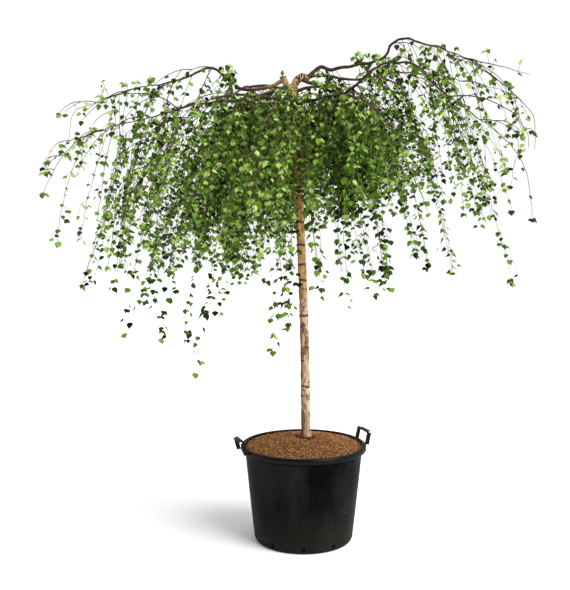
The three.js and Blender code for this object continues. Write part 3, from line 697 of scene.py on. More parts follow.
def birch_bark():
    """Cream bark that peels off in orange patches, with dark rings at its nodes and fine lenticels."""
    finish = Finish("birch_bark", paint(204, 172, 134), 0.7, 0.3)
    broad = finish.grain(11, (1, 1, 0.55), detail=5, roughness=0.62, warp=0.6)
    fine = finish.grain(75, (1, 1, 0.4), detail=5, roughness=0.7)
    cream = finish.mix(finish.window(broad, 0.41, 0.63), paint(220, 190, 160), paint(160, 128, 94))
    worn = finish.mix(finish.window(fine, 0.49, 0.63), cream, paint(86, 61, 38))
    peel = finish.window(finish.mask("peel"), 0.35, 0.6)
    orange = finish.mix(finish.window(fine, 0.40, 0.65), paint(150, 104, 62), paint(72, 46, 30))
    skin = finish.mix(peel * 0.85, worn, orange)
    high = finish.window(finish.height() + broad * 0.35, *BARK_BROWN)
    brown = finish.mix(finish.window(fine, 0.44, 0.70), paint(228, 168, 98), paint(120, 78, 42))
    risen = finish.mix(high * 0.72, skin, brown)
    head = finish.window(finish.height() + fine * 0.05, *BARK_HEAD)
    tan = finish.mix(finish.window(fine, 0.42, 0.66), paint(248, 202, 140), paint(140, 94, 52))
    # Painted shade: broad dark patches over the head's tan
    tan = finish.mix(finish.window(broad, 0.53, 0.61) * 0.75, tan, paint(70, 42, 27))
    # Painted shade: the stem's left side, away from the key light, is darker
    side_shade = finish.window(finish.mask("shade") + broad * 0.8 - 0.4, 0.45, 0.95)
    shaded = finish.mix(side_shade * 0.72, risen, paint(84, 60, 42))
    upper = finish.mix(head * 0.85, shaded, tan)
    dashes = finish.grain(30, (1, 1, 11), detail=3, roughness=0.6, warp=0.4)
    dash = finish.window(dashes, 0.66, 0.72)
    marked = finish.mix(dash * 0.75, upper, paint(72, 50, 36))
    ring = finish.window(finish.mask("ring") + fine * 0.5 - 0.25, 0.25, 0.6)
    ringed = finish.mix(ring * 0.92, marked, paint(68, 40, 26))
    foot = finish.window(finish.mask("foot") + fine * 0.4 - 0.2, 0.35, 0.75)
    cut = finish.window(finish.mask("cut"), 0.4, 0.6)
    grown = finish.mix(foot, ringed, paint(52, 38, 28))
    hump = finish.window(finish.mask("hump") + fine * 0.5 - 0.25, 0.3, 0.8)
    bands = finish.node("ShaderNodeTexWave", {"bands_direction": "X"}, {
        "Vector": finish.place(), "Scale": 23, "Distortion": 0.3, "Detail": 1, "Detail Scale": 2})
    level = finish.window(finish.height(), *PALE_FOOT) * finish.window(finish.height(), *PALE_TOP)
    pale = finish.window(bands, 0.70, 0.84) * level
    humped = finish.mix(hump, grown, finish.mix(pale * 0.85, paint(44, 27, 20), paint(222, 202, 176)))
    finish.set("Base Color", finish.mix(cut, humped, paint(62, 44, 32)))
    finish.set("Roughness", 0.55 + fine * 0.3)
    finish.relief(fine + dash * 0.5, 0.0016, 0.8)
    return finish.material


def bough_bark():
    """Dark red-brown bark, tan near the head, with pale lenticels across it."""
    finish = Finish("bough_bark", paint(72, 50, 40), 0.7, 0.3)
    broad = finish.grain(14, detail=4)
    fine = finish.grain(120, detail=4, roughness=0.65)
    dark = finish.mix(finish.window(broad, 0.35, 0.65), paint(50, 33, 27), paint(82, 56, 42))
    tan = finish.mix(finish.window(fine, 0.38, 0.66), paint(208, 174, 122), paint(124, 92, 60))
    near = finish.window(finish.mask("near") + broad * 0.5 - 0.25, 0.25, 0.75)
    skin = finish.mix(near * 0.9, dark, tan)
    dots = finish.window(finish.grain(210, (1.6, 1.6, 1), detail=1), 0.66, 0.72)
    ring = finish.window(finish.mask("ring"), 0.45, 0.8)
    banded = finish.mix(ring * 0.6, skin, paint(44, 28, 22))
    finish.set("Base Color", finish.mix(dots * 0.5, banded, paint(160, 130, 104)))
    finish.set("Roughness", 0.5 + fine * 0.3)
    finish.relief(fine + dots * 0.4, 0.0010, 0.8)
    return finish.material


def plain(name, colour, roughness, specular):
    """One even colour, for small things that are joined by the thousand."""
    return Finish(name, colour, roughness, specular).material


# Modelling

def deselect():
    if bpy.context.object and bpy.context.object.mode != "OBJECT":
        bpy.ops.object.mode_set(mode="OBJECT")
    bpy.ops.object.select_all(action="DESELECT")


def hold(piece):
    """Makes a piece the only one selected, and the active one."""
    deselect()
    piece.select_set(True)
    bpy.context.view_layer.objects.active = piece


def opened(name):
    """Names the primitive that was just added, and opens it for editing with all of it selected."""
    piece = bpy.context.object
    piece.name = name
    piece.data.name = name
    bpy.ops.object.mode_set(mode="EDIT")
    bpy.ops.mesh.select_all(action="SELECT")
    return piece


def pick(piece, kind, test):
    """Selects the faces or edges that pass the test."""
    bpy.ops.mesh.select_mode(type=kind)
    bpy.ops.mesh.select_all(action="DESELECT")
    mesh = bmesh.from_edit_mesh(piece.data)
    for part in (mesh.faces if kind == "FACE" else mesh.edges):
        if test(part):
            part.select_set(True)
    bmesh.update_edit_mesh(piece.data)


def closed(piece):
    """Merges doubles, points the faces outwards and leaves edit mode."""
    bpy.ops.mesh.select_all(action="SELECT")
    bpy.ops.mesh.remove_doubles(threshold=0.00002)
    bpy.ops.mesh.normals_make_consistent(inside=False)
    bpy.ops.object.mode_set(mode="OBJECT")
    return piece


def modified(piece, kind, **settings):
    """Adds a modifier and applies it."""
    hold(piece)
    modifier = piece.modifiers.new(kind.lower(), kind)
    for name, value in settings.items():
        setattr(modifier, name, value)
    bpy.ops.object.modifier_apply(modifier=modifier.name)
    return piece


def rounded(piece, width, angle, segments=2):
    """Rounds the edges that turn by more than an angle."""
    return modified(piece, "BEVEL", width=width, segments=segments, limit_method="ANGLE",
                    angle_limit=math.radians(angle))


def combined(piece, other, operation):
    """Adds another piece to this one or cuts it out of it, and removes the other."""
    modified(piece, "BOOLEAN", object=other, operation=operation, solver="EXACT")
    bpy.data.objects.remove(other)


def raised(piece, group, strength):
    """Moves the surface outwards as far as a vertex group says."""
    modified(piece, "DISPLACE", strength=strength, mid_level=0, vertex_group=group)


def lumpy(piece, name, size, strength, **settings):
    """Gives the surface cloudy lumps of a size."""
    modified(piece, "DISPLACE", texture=pattern(name, size), strength=strength, texture_coords="LOCAL",
             **settings)


def joined(pieces, name):
    deselect()
    for piece in pieces:
        piece.select_set(True)
    bpy.context.view_layer.objects.active = pieces[0]
    bpy.ops.object.join()
    pieces[0].name = name
    pieces[0].data.name = name
    return pieces[0]


def settled(piece):
    """Puts the object's place, turn and scale into its mesh."""
    hold(piece)
    bpy.ops.object.transform_apply(location=True, rotation=True, scale=True)
    return piece


def finished(piece, material, slot, *nodes, smooth=35):
    """Gives a piece its material, shading and body, and hides the solids that it stands for. Its slot is
    not used.
    """
    piece.data.materials.clear()
    piece.data.materials.append(material)
    if smooth:
        hold(piece)
        bpy.ops.object.shade_smooth_by_angle(angle=math.radians(smooth))
    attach(piece, "root")
    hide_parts(*nodes)


def keep_mask(piece, name, values):
    """Keeps a mask in the mesh, one number a vertex."""
    mask = piece.data.attributes.new(name, "FLOAT", "POINT")
    mask.data.foreach_set("value", np.asarray(values, dtype=np.float32))


def weight(piece, name, values):
    """Keeps a mask as a vertex group, for a modifier."""
    group = piece.vertex_groups.new(name=name)
    for i, value in enumerate(values):
        if value > 0.01:
            group.add([i], float(value), "REPLACE")


def pattern(name, size):
    """A cloudy pattern for a displace modifier."""
    texture = bpy.data.textures.new(name, "CLOUDS")
    texture.noise_scale = size
    texture.noise_depth = 2
    return texture


def spots_of(piece):
    """The vertices of a mesh as rows."""
    spots = np.empty(len(piece.data.vertices) * 3, np.float32)
    piece.data.vertices.foreach_get("co", spots)
    return spots.reshape(-1, 3)


def mesh_of(name, spots, faces):
    """A mesh from rows of vertices and rows of faces, all with as many corners."""
    mesh = bpy.data.meshes.new(name)
    sides = faces.shape[1]
    mesh.vertices.add(len(spots))
    mesh.vertices.foreach_set("co", np.asarray(spots, np.float32).ravel())
    mesh.loops.add(faces.size)
    mesh.loops.foreach_set("vertex_index", np.asarray(faces, np.int32).ravel())
    mesh.polygons.add(len(faces))
    mesh.polygons.foreach_set("loop_start", np.arange(0, faces.size, sides, dtype=np.int32))
    mesh.update(calc_edges=True)
    mesh.validate()
    piece = bpy.data.objects.new(name, mesh)
    bpy.context.scene.collection.objects.link(piece)
    return piece


def repeated(faces, count, corners):
    """The faces of one shape, again for each of so many copies with so many corners."""
    return (faces[None] + (np.arange(count) * corners)[:, None, None]).reshape(-1, faces.shape[1])


def step_out(heading, length, height=0):
    """A step of a length along a heading, and up by a height."""
    angle = math.radians(heading)
    return Vector((length * math.cos(angle), length * math.sin(angle), height))


def block(spot, size, heading=0):
    deselect()
    turn = (0, 0, math.radians(heading))
    bpy.ops.mesh.primitive_cube_add(size=1, location=spot, rotation=turn, scale=size)
    return bpy.context.object


def ball(spot, radius, scale=(1, 1, 1)):
    deselect()
    bpy.ops.mesh.primitive_uv_sphere_add(segments=24, ring_count=16, radius=radius, location=spot,
                                         scale=scale)
    return settled(bpy.context.object)


def arc(centre, radius, start, stop, steps):
    """Points of a round corner, angles in degrees."""
    angles = [math.radians(start + (stop - start) * i / steps) for i in range(steps + 1)]
    return [(centre[0] + radius * math.cos(a), centre[1] + radius * math.sin(a)) for a in angles]


def turned(name, profile, sides):
    """A body turned about the upright axis, ring by ring through its profile of radius and height."""
    deselect()
    bpy.ops.mesh.primitive_circle_add(vertices=sides, radius=profile[0][0], fill_type="NGON",
                                      location=(0, 0, profile[0][1]))
    piece = opened(name)
    for (radius, height), (next_radius, next_height) in zip(profile, profile[1:]):
        rise = (0, 0, next_height - height)
        bpy.ops.mesh.extrude_region_move(TRANSFORM_OT_translate={"value": rise})
        grow = next_radius / radius
        bpy.ops.transform.resize(value=(grow, grow, 1), center_override=(0, 0, next_height))
    return settled(closed(piece))


# Tub and handles

def tub_profile():
    """Radius and height from the base outside up to the rim, and inside down to the base again."""
    top = TUB_HEIGHT
    under = top - RIM_DEPTH
    outer = RIM_RADIUS
    inner = WALL_TOP_RADIUS - TUB_WALL
    lower_round, upper_round, inner_round = RIM_ROUNDS
    profile = [(CORE_RADIUS, BASE_RISE), (FOOT_RADIUS - FOOT_RING[0], BASE_RISE)]
    profile += [(FOOT_RADIUS - FOOT_RING[1], 0), (FOOT_RADIUS, 0)]
    profile += arc((FOOT_RADIUS, FOOT_ROUND), FOOT_ROUND, -78, -12, 5)
    profile += [(WALL_FOOT_RADIUS, FOOT_ROUND + 0.004)]
    for i in range(1, WALL_STEPS):
        part = i / WALL_STEPS
        belly = WALL_BELLY * math.sin(math.pi * part)
        profile.append((WALL_FOOT_RADIUS + (WALL_TOP_RADIUS - WALL_FOOT_RADIUS) * part + belly,
                        FOOT_ROUND + (under - FOOT_ROUND) * part))
    profile += [(WALL_TOP_RADIUS, under - 0.004), (WALL_TOP_RADIUS + 0.0015, under - 0.0008)]
    profile += [(outer - 0.010, under)]
    profile += arc((outer - lower_round, under + lower_round), lower_round, -80, 0, 5)
    profile += arc((outer - upper_round, top - upper_round), upper_round, 6, 90, 7)
    profile += arc((outer - RIM_LIP - 0.001, top - inner_round), inner_round, 90, 160, 4)
    profile += [(inner + 0.001, top - 0.018), (inner, under), (inner - 0.020, 0.320)]
    base = TUB_WALL + 0.002
    profile += [(WALL_FOOT_RADIUS - TUB_WALL, FOOT_ROUND + 0.002), (FOOT_RADIUS - TUB_WALL, base)]
    return profile + [(CORE_RADIUS, base)]


def tub(plastic):
    """The tub with its drain holes round the foot and a slot under the rim at each side."""
    body = turned("tub", tub_profile(), TUB_SIDES)
    cutters = []
    for i in range(DRAIN_COUNT):
        heading = DRAIN_FROM + 360 * i / DRAIN_COUNT
        deselect()
        bpy.ops.mesh.primitive_cylinder_add(
            vertices=20, radius=DRAIN_RADIUS, depth=DRAIN_DEPTH,
            location=step_out(heading, WALL_FOOT_RADIUS, DRAIN_HEIGHT),
            rotation=(0, math.pi / 2, math.radians(heading)))
        cutters.append(bpy.context.object)
    slot_height = TUB_HEIGHT - RIM_DEPTH - SLOT_SIZE[2] / 2 - SLOT_GAP
    for heading in SLOT_HEADINGS:
        cutters.append(block(step_out(heading, WALL_TOP_RADIUS, slot_height), SLOT_SIZE, heading))
    combined(body, settled(joined(cutters, "tub_cutter")), "DIFFERENCE")
    rounded(body, TUB_EDGE, 50)
    finished(body, plastic, "tub_plastic", "tub")


def handle(name, heading, lean, plastic):
    """An upright loop of flat strap on the rim that leans outwards, with a lip along its top."""
    half = HANDLE_WIDTH / 2
    strap = HANDLE_STRAP
    thick = HANDLE_THICK
    shoulder = HANDLE_RISE - strap
    block((-half + strap / 2, 0, -HANDLE_FOOT / 2), (strap, thick, HANDLE_FOOT))
    piece = settled(opened(name))
    bpy.ops.object.mode_set(mode="EDIT")

    def looks_up(face):
        return face.normal.z > FACING

    def looks_across(face):
        return face.normal.x > FACING and face.calc_center_median().z > shoulder

    def looks_down(face):
        return face.normal.z < -FACING and face.calc_center_median().x > half - strap

    def crossing(x, z):
        def test(edge):
            ends = [vertex.co for vertex in edge.verts]
            return all(abs(end.x - x) < SAME_SPOT and abs(end.z - z) < SAME_SPOT for end in ends)
        return test

    pushes = (
        (looks_up, (0, 0, shoulder)), (looks_up, (0, 0, strap)),
        (looks_across, (HANDLE_WIDTH - 2 * strap, 0, 0)), (looks_across, (strap, 0, 0)),
        (looks_down, (0, 0, -shoulder)), (looks_down, (0, 0, -HANDLE_FOOT)))
    for test, way in pushes:
        pick(piece, "FACE", test)
        bpy.ops.mesh.extrude_region_move(TRANSFORM_OT_translate={"value": way})
    bpy.ops.mesh.select_all(action="SELECT")
    bpy.ops.mesh.remove_doubles(threshold=0.00002)
    for side in (-1, 1):
        pick(piece, "EDGE", crossing(side * half, HANDLE_RISE))
        bpy.ops.mesh.bevel(offset=HANDLE_OUTER_ROUND, segments=6, affect="EDGES")
        pick(piece, "EDGE", crossing(side * (half - strap), shoulder))
        bpy.ops.mesh.bevel(offset=HANDLE_INNER_ROUND, segments=4, affect="EDGES")
    closed(piece)
    lip_depth = HANDLE_LIP + thick
    flanges = [block((0, -(lip_depth - thick) / 2, HANDLE_RISE - HANDLE_LIP_THICK / 2),
                     (HANDLE_WIDTH - HANDLE_LIP_SHORT, lip_depth, HANDLE_LIP_THICK))]
    rib_height = (HANDLE_RISE - HANDLE_FOOT) / 2 - HANDLE_RIB_SHORT / 2
    rib_size = (HANDLE_RIB, HANDLE_RIB_DEPTH + thick, HANDLE_RISE + HANDLE_FOOT - HANDLE_RIB_SHORT)
    for side in (-1, 1):
        flanges.append(block((side * (half - HANDLE_RIB / 2), -HANDLE_RIB_DEPTH / 2, rib_height), rib_size))
    for flange in flanges:
        rounded(settled(flange), FLANGE_EDGE, 80)
        combined(piece, flange, "UNION")
    rounded(piece, HANDLE_EDGE, 55)
    tilt = Matrix.Rotation(math.radians(lean), 4, "X")
    turn = Matrix.Rotation(math.radians(heading + 90), 4, "Z")
    piece.matrix_world = Matrix.Translation(step_out(heading, HANDLE_REACH, TUB_HEIGHT)) @ turn @ tilt
    settled(piece)
    finished(piece, plastic, "tub_plastic", name)


# Soil and mulch

def heap_height(reach):
    """The height of the heaped soil at a reach from the tub's axis."""
    heap = SOIL_TOP_HEIGHT - SOIL_EDGE_HEIGHT
    reaches = (0, SOIL_SEAT_RADIUS, SOIL_RADIUS * SOIL_CROWN[0], SOIL_RADIUS * SOIL_SHOULDER[0],
               SOIL_RADIUS)
    heights = (SOIL_TOP_HEIGHT, SOIL_TOP_HEIGHT, SOIL_EDGE_HEIGHT + heap * SOIL_CROWN[1],
               SOIL_EDGE_HEIGHT + heap * SOIL_SHOULDER[1], SOIL_EDGE_HEIGHT)
    return float(np.interp(reach, reaches, heights))


def soil(earth):
    """The filling of the tub, up along its wall and over the rough heap."""
    base = TUB_WALL + 0.003
    profile = [(CORE_RADIUS, base), (FOOT_RADIUS - TUB_WALL - 0.003, base),
               (WALL_FOOT_RADIUS - TUB_WALL - 0.0005, SOIL_FOOT_HEIGHT),
               (SOIL_RADIUS, TUB_HEIGHT - RIM_DEPTH), (SOIL_RADIUS, SOIL_EDGE_HEIGHT)]
    for i in range(1, SOIL_RINGS):
        reach = SOIL_RADIUS * (1 - i / SOIL_RINGS)
        profile.append((reach, heap_height(reach)))
    piece = turned("soil", profile, SOIL_SIDES)
    spots = spots_of(piece)
    reach = np.hypot(spots[:, 0], spots[:, 1])
    top = (spots[:, 2] > SOIL_EDGE_HEIGHT + 0.0005) & (reach < SOIL_RADIUS - 0.004)
    weight(piece, "top", top.astype(float))
    lumpy(piece, "crumbs", 0.03, 0.006, mid_level=0.72, vertex_group="top")
    finished(piece, earth, "bark_mulch", "soil")


def chips(tones):
    """Shredded bark: short bent slivers that lie over each other on the heap."""
    random = Seeded(71)
    corners = np.array([(-1, -1, -1), (1, -1, -1), (1, 1, -1), (-1, 1, -1),
                        (-1, -1, 1), (1, -1, 1), (1, 1, 1), (-1, 1, 1)], float)
    faces = np.array([(0, 3, 2, 1), (4, 5, 6, 7), (0, 1, 5, 4), (1, 2, 6, 5), (2, 3, 7, 6), (3, 0, 4, 7)])
    heaps = {name: [] for name in tones}
    for _ in range(CHIP_COUNT):
        reach = (SOIL_RADIUS - CHIP_EDGE_GAP) * math.sqrt(random())
        angle = 2 * math.pi * random()
        x = reach * math.cos(angle)
        y = reach * math.sin(angle)
        from_stem = math.hypot(x - STEM_FOOT.x, y - STEM_FOOT.y)
        near = from_stem < CHIP_NEAR_REACH
        length = random.between(CHIP_LENGTH) * (CHIP_NEAR_SHORT if near else 1)
        width = length * random.between(CHIP_WIDTH)
        thick = random.between(CHIP_THICK)
        tilt = math.radians(random.between(CHIP_TILT))
        roll = math.radians(random.between(CHIP_ROLL))
        turn = Matrix.Rotation(2 * math.pi * random(), 3, "Z") @ Matrix.Rotation(tilt, 3, "Y")
        turn = turn @ Matrix.Rotation(roll, 3, "X")
        jitter = np.array([[random.between(CHIP_JITTER) for _ in range(3)] for _ in range(8)])
        shape = corners * jitter * (length / 2, width / 2, thick / 2)
        heaped = max(0.0, 1 - abs(from_stem - CHIP_HEAP_REACH) / CHIP_HEAP_WIDTH)
        lift = random.between(CHIP_LIFT) * (1 + CHIP_HEAP_RISE * heaped)
        if from_stem < CHIP_FREE_REACH:
            continue
        where = np.array((x, y, heap_height(reach) + lift - CHIP_SINK))
        draw = random()
        tone = next(name for limit, name in (CHIP_TONES_NEAR if near else CHIP_TONES) if draw < limit)
        heaps[tone].append(shape @ np.array(turn).T + where)
    for name, heap in heaps.items():
        piece = mesh_of(name, np.concatenate(heap), repeated(faces, len(heap), len(corners)))
        finished(piece, tones[name], "bark_mulch", "soil", smooth=0)


# Stem

def stem_at(height):
    part = (height - STEM_FOOT.z) / (STEM_FORK_HEIGHT - STEM_FOOT.z)
    bow = STEM_BOW * 4 * part * (1 - part)
    return Vector((STEM_FOOT.x + STEM_LEAN[0] * part + bow, STEM_FOOT.y + STEM_LEAN[1] * part, height))


def stem_radius(height):
    above = max(0, height - STEM_FOOT.z)
    part = above / (STEM_FORK_HEIGHT - STEM_FOOT.z)
    taper = STEM_FOOT_RADIUS + (STEM_TOP_RADIUS - STEM_FOOT_RADIUS) * part
    flare = FLARE * math.exp(-above / FLARE_HEIGHT)
    node = NODE_SWELL * math.cos(2 * math.pi * above / NODE_SPACING)
    graft = GRAFT_SWELL * math.exp(-max(0, STEM_FORK_HEIGHT - height) / GRAFT_LENGTH)
    return taper + flare + node + graft


def place(heading, reach, height):
    """The place at a heading and reach from the crown's axis."""
    angle = math.radians(heading)
    return Vector((CROWN_X + reach * math.cos(angle), CROWN_Y + reach * math.sin(angle), height))


def rod_between(start, end, radius, sides=24):
    """A round rod from start to end, with rounded ends."""
    way = end - start
    deselect()
    bpy.ops.mesh.primitive_cylinder_add(
        vertices=sides, radius=radius, depth=way.length, location=(start + end) / 2,
        rotation=way.to_track_quat("Z", "Y").to_euler())
    return rounded(settled(bpy.context.object), radius * 0.22, 60, segments=3)


def stem_wood():
    """The stem, extruded ring by ring, with the rods and balls of its fork, all made one skin."""
    tall = STEM_FORK_HEIGHT - STEM_FOOT.z
    steps = round(tall / STEM_STEP)
    heights = [STEM_FOOT.z + tall * i / steps for i in range(steps + 1)]
    heights = heights[:1] + [STEM_FOOT.z + 0.004, STEM_FOOT.z + 0.008] + heights[1:]
    deselect()
    bpy.ops.mesh.primitive_circle_add(vertices=STEM_SIDES, radius=stem_radius(heights[0]), fill_type="NGON",
                                      location=stem_at(heights[0]))
    piece = opened("stem")
    for height, above in zip(heights, heights[1:]):
        bpy.ops.mesh.extrude_region_move(TRANSFORM_OT_translate={"value": stem_at(above) - stem_at(height)})
        grow = stem_radius(above) / stem_radius(height)
        bpy.ops.transform.resize(value=(grow, grow, 1), center_override=stem_at(above))
    parts = [settled(closed(piece))]
    root = stem_at(STEM_FORK_HEIGHT - STUB_ROOT_DEPTH)
    left, right = STUBS
    parts.append(rod_between(root, place(*left[:3]), left[3] * STUB_SLIM))
    hump = [root, *[Vector(spot) for spot in HUMP]]
    for start, end in zip(hump, hump[1:]):
        parts.append(rod_between(start, end, right[3] * HUMP_SLIM))
        parts.append(ball(end, right[3] * HUMP_SLIM))
    parts.append(ball(stem_at(STEM_FORK_HEIGHT), 1, FORK_SIZE))
    piece = joined(parts, "stem")
    modified(piece, "REMESH", mode="VOXEL", voxel_size=BARK_VOXEL, adaptivity=0)
    return modified(piece, "SMOOTH", factor=0.5, iterations=4)


def ring_at(x, y, z, angle):
    """How strong the bark's dark rings are at a spot."""
    ring = 0.0
    for k, (height, heading, half, strength) in enumerate(RINGS):
        tilt = 0.003 * math.sin(angle + 1.7 * k)
        wobble = 0.004 * noise.noise(Vector((x * 50, y * 50, k)))
        away = abs(z - height - tilt - wobble)
        if away < RING_FAR:
            off = (math.degrees(angle) - heading + 180) % 360 - 180
            ring = max(ring, strength * math.exp(-(away / RING_HALF) ** 2 - (off / half) ** 2))
    return ring


def stem_masks(spots):
    """The masks of the bark, and how far the lobes of the flare stand out."""
    masks = {name: np.zeros(len(spots)) for name in (*BARK_MASKS, "lobed")}
    root = stem_at(STEM_FORK_HEIGHT - STUB_ROOT_DEPTH)
    stub = place(*STUBS[0][:3]) - root
    stub_way = stub.normalized()
    for i, spot in enumerate(spots):
        x, y, z = (float(value) for value in spot)
        axis = stem_at(min(z, STEM_FORK_HEIGHT))
        angle = math.atan2(y - axis.y, x - axis.x)
        patch = noise.noise(Vector((x * 26, y * 26, z * 9 + 3)))
        patch += 0.45 * noise.noise(Vector((x * 90, y * 90, z * 40)))
        along = (Vector((x, y, z)) - root).dot(stub_way)
        hump_foot = HUMP_HEIGHT + HUMP_SLOPE * max(0.0, HUMP_SLOPE_X - x)
        above = max(0.0, z - STEM_FOOT.z)
        masks["ring"][i] = ring_at(x, y, z, angle)
        masks["cut"][i] = along > stub.length - CUT_DEPTH and x < CUT_X
        masks["hump"][i] = x > HUMP_X and z > hump_foot
        masks["foot"][i] = max(0.0, 1 - (z - STEM_FOOT.z) / FLARE_HEIGHT)
        # Painted shade mask: highest on the side away from the key light
        masks["shade"][i] = math.cos(angle - math.radians(SHADE_HEADING))
        masks["peel"][i] = min(1.0, max(0.0, 0.5 + PEEL_STEEP * (patch - PEEL_FROM)))
        masks["lobed"][i] = math.exp(-above / LOBE_HEIGHT) * (0.5 + 0.5 * math.cos(LOBES * angle + 1.1))
    return masks


def stem(bark):
    """The stem with the relief of its bark, and the masks that its finish reads."""
    piece = stem_wood()
    masks = stem_masks(spots_of(piece))
    for name in BARK_MASKS:
        keep_mask(piece, name, masks[name])
    weight(piece, "ring", masks["ring"])
    weight(piece, "peel", np.clip((masks["peel"] - 0.35) * 4, 0, 1))
    weight(piece, "lobed", masks["lobed"])
    for group, strength in (("ring", 0.0013), ("peel", -0.0007), ("lobed", 0.003)):
        raised(piece, group, strength)
    lumpy(piece, "bark_lumps", 0.035, 0.0030)
    lumpy(piece, "bark_grain", 0.009, 0.0010)
    finished(piece, bark, "birch_bark", "stem", smooth=60)


# Boughs

def arch_stations(start, rise, reach, drop):
    """Stations of an arching bough: up to its crest, then down ever more steeply."""
    stations = []
    for part in ARCH_PARTS:
        lift = math.sin(math.pi / 2 * min(1, part / ARCH_CREST)) * rise
        fall = drop * ((part - ARCH_CREST) / (1 - ARCH_CREST)) ** 2 if part > ARCH_CREST else 0
        stations.append((reach * (part - ARCH_TUCK * max(0, part - ARCH_TUCK_FROM)), start + lift - fall))
    return stations


def smooth_line(knots, steps):
    """A smooth line through the knots, with so many steps between two of them."""
    ends = [knots[0] * 2 - knots[1], *knots, knots[-1] * 2 - knots[-2]]
    points = []
    for before, first, second, after in zip(ends, ends[1:], ends[2:], ends[3:]):
        leave = (second - before) * 0.5
        arrive = (after - first) * 0.5
        for i in range(steps):
            t = i / steps
            square = (second - first) * 3 - leave * 2 - arrive
            cube = (first - second) * 2 + leave + arrive
            points.append(first + leave * t + square * t ** 2 + cube * t ** 3)
    points.append(knots[-1])
    return points


def limb_line(heading, stations, steps):
    """A limb's middle line, which wanders a little to both sides of its heading."""
    side = step_out(heading + 90, 1)
    knots = []
    for reach, height in stations:
        wave = math.sin(2 * math.pi * reach / WANDER_LENGTH + heading)
        knots.append(place(heading, reach, height) + side * (WANDER * min(1, reach / WANDER_LENGTH) * wave))
    return smooth_line(knots, steps)


def lengths_of(points):
    """How far along the line each point is."""
    so_far = [0.0]
    for first, second in zip(points, points[1:]):
        so_far.append(so_far[-1] + (second - first).length)
    return so_far


def evenly(points, step):
    """The same line with a point at every step of its length."""
    lengths = lengths_of(points)
    count = max(2, round(lengths[-1] / step))
    rows = np.array(points)
    wanted = np.linspace(0, lengths[-1], count + 1)
    columns = [np.interp(wanted, lengths, rows[:, k]) for k in range(3)]
    return [Vector(row) for row in np.stack(columns, axis=1)]


def point_along(points, part):
    spot = min(part, 0.9999) * (len(points) - 1)
    i = int(spot)
    return points[i].lerp(points[i + 1], spot - i)


def rough(points, size, wave, seed):
    """The line with small kinks in it, its start kept."""
    shifts = [Vector(shift) for shift in ((seed, 0, 0), (0, seed, 9), (5, 0, seed))]
    made = []
    for i, point in enumerate(points):
        spot = point * (1 / wave)
        kink = Vector([noise.noise(spot + shift) for shift in shifts])
        made.append(point + kink * (size * min(1, i / KINK_POINTS)))
    return made


def limb_mesh(name, points, radii, tan_length):
    """A limb as a bevelled path made a mesh, with the bark's relief and its rings."""
    path = bpy.data.curves.new(name, "CURVE")
    path.dimensions = "3D"
    path.bevel_depth = 1.0
    path.bevel_resolution = BOUGH_SIDES // 4 - 2
    path.use_fill_caps = True
    spline = path.splines.new("POLY")
    spline.points.add(len(points) - 1)
    for spot, point, radius in zip(spline.points, points, radii):
        spot.co = (*point, 1)
        spot.radius = radius
    limb = bpy.data.objects.new(name, path)
    bpy.context.scene.collection.objects.link(limb)
    hold(limb)
    bpy.ops.object.convert(target="MESH")
    limb = bpy.context.object
    limb.data.name = name
    opened(name)
    closed(limb)
    spots = spots_of(limb)
    line = np.array(points)
    so_far = np.array(lengths_of(points))
    nearest = np.argmin(((spots[:, None, :] - line[None, :, :]) ** 2).sum(axis=2), axis=1)
    along = so_far[nearest]
    wandered = along + BOUGH_RING_WANDER * np.sin(along * 31)
    band = np.abs(wandered % BOUGH_RING_GAP - BOUGH_RING_GAP / 2)
    ring = np.exp(-(band / BOUGH_RING_HALF) ** 2)
    size = np.array(radii)[nearest] / radii[0]
    keep_mask(limb, "ring", ring)
    keep_mask(limb, "near", np.exp(-(along / tan_length) ** 2))
    weight(limb, "ring", ring * size)
    weight(limb, "wood", size)
    raised(limb, "ring", 0.0011)
    lumpy(limb, "bough_lumps", 0.022, 0.0034, vertex_group="wood")
    return limb


def bough_radii(points, thick, split):
    """Radii along a limb: a collar at its root, the solid's taper on its bare part, then a thin tip."""
    lengths = lengths_of(points)
    whole = lengths[-1]
    radii = []
    for length in lengths:
        part = length / whole
        if part < split:
            radius = thick + (BOUGH_TIP_RADIUS - thick) * (part / split) ** BOUGH_TAPER
        else:
            past = (part - split) / (1 - split)
            radius = BOUGH_TIP_RADIUS + (LIMB_END_RADIUS - BOUGH_TIP_RADIUS) * past ** LIMB_END_TAPER
        radii.append(LIMB_SLIM * radius * (1 + COLLAR * math.exp(-length / COLLAR_LENGTH)))
    return radii


# Crown: twigs and leaves from arrays

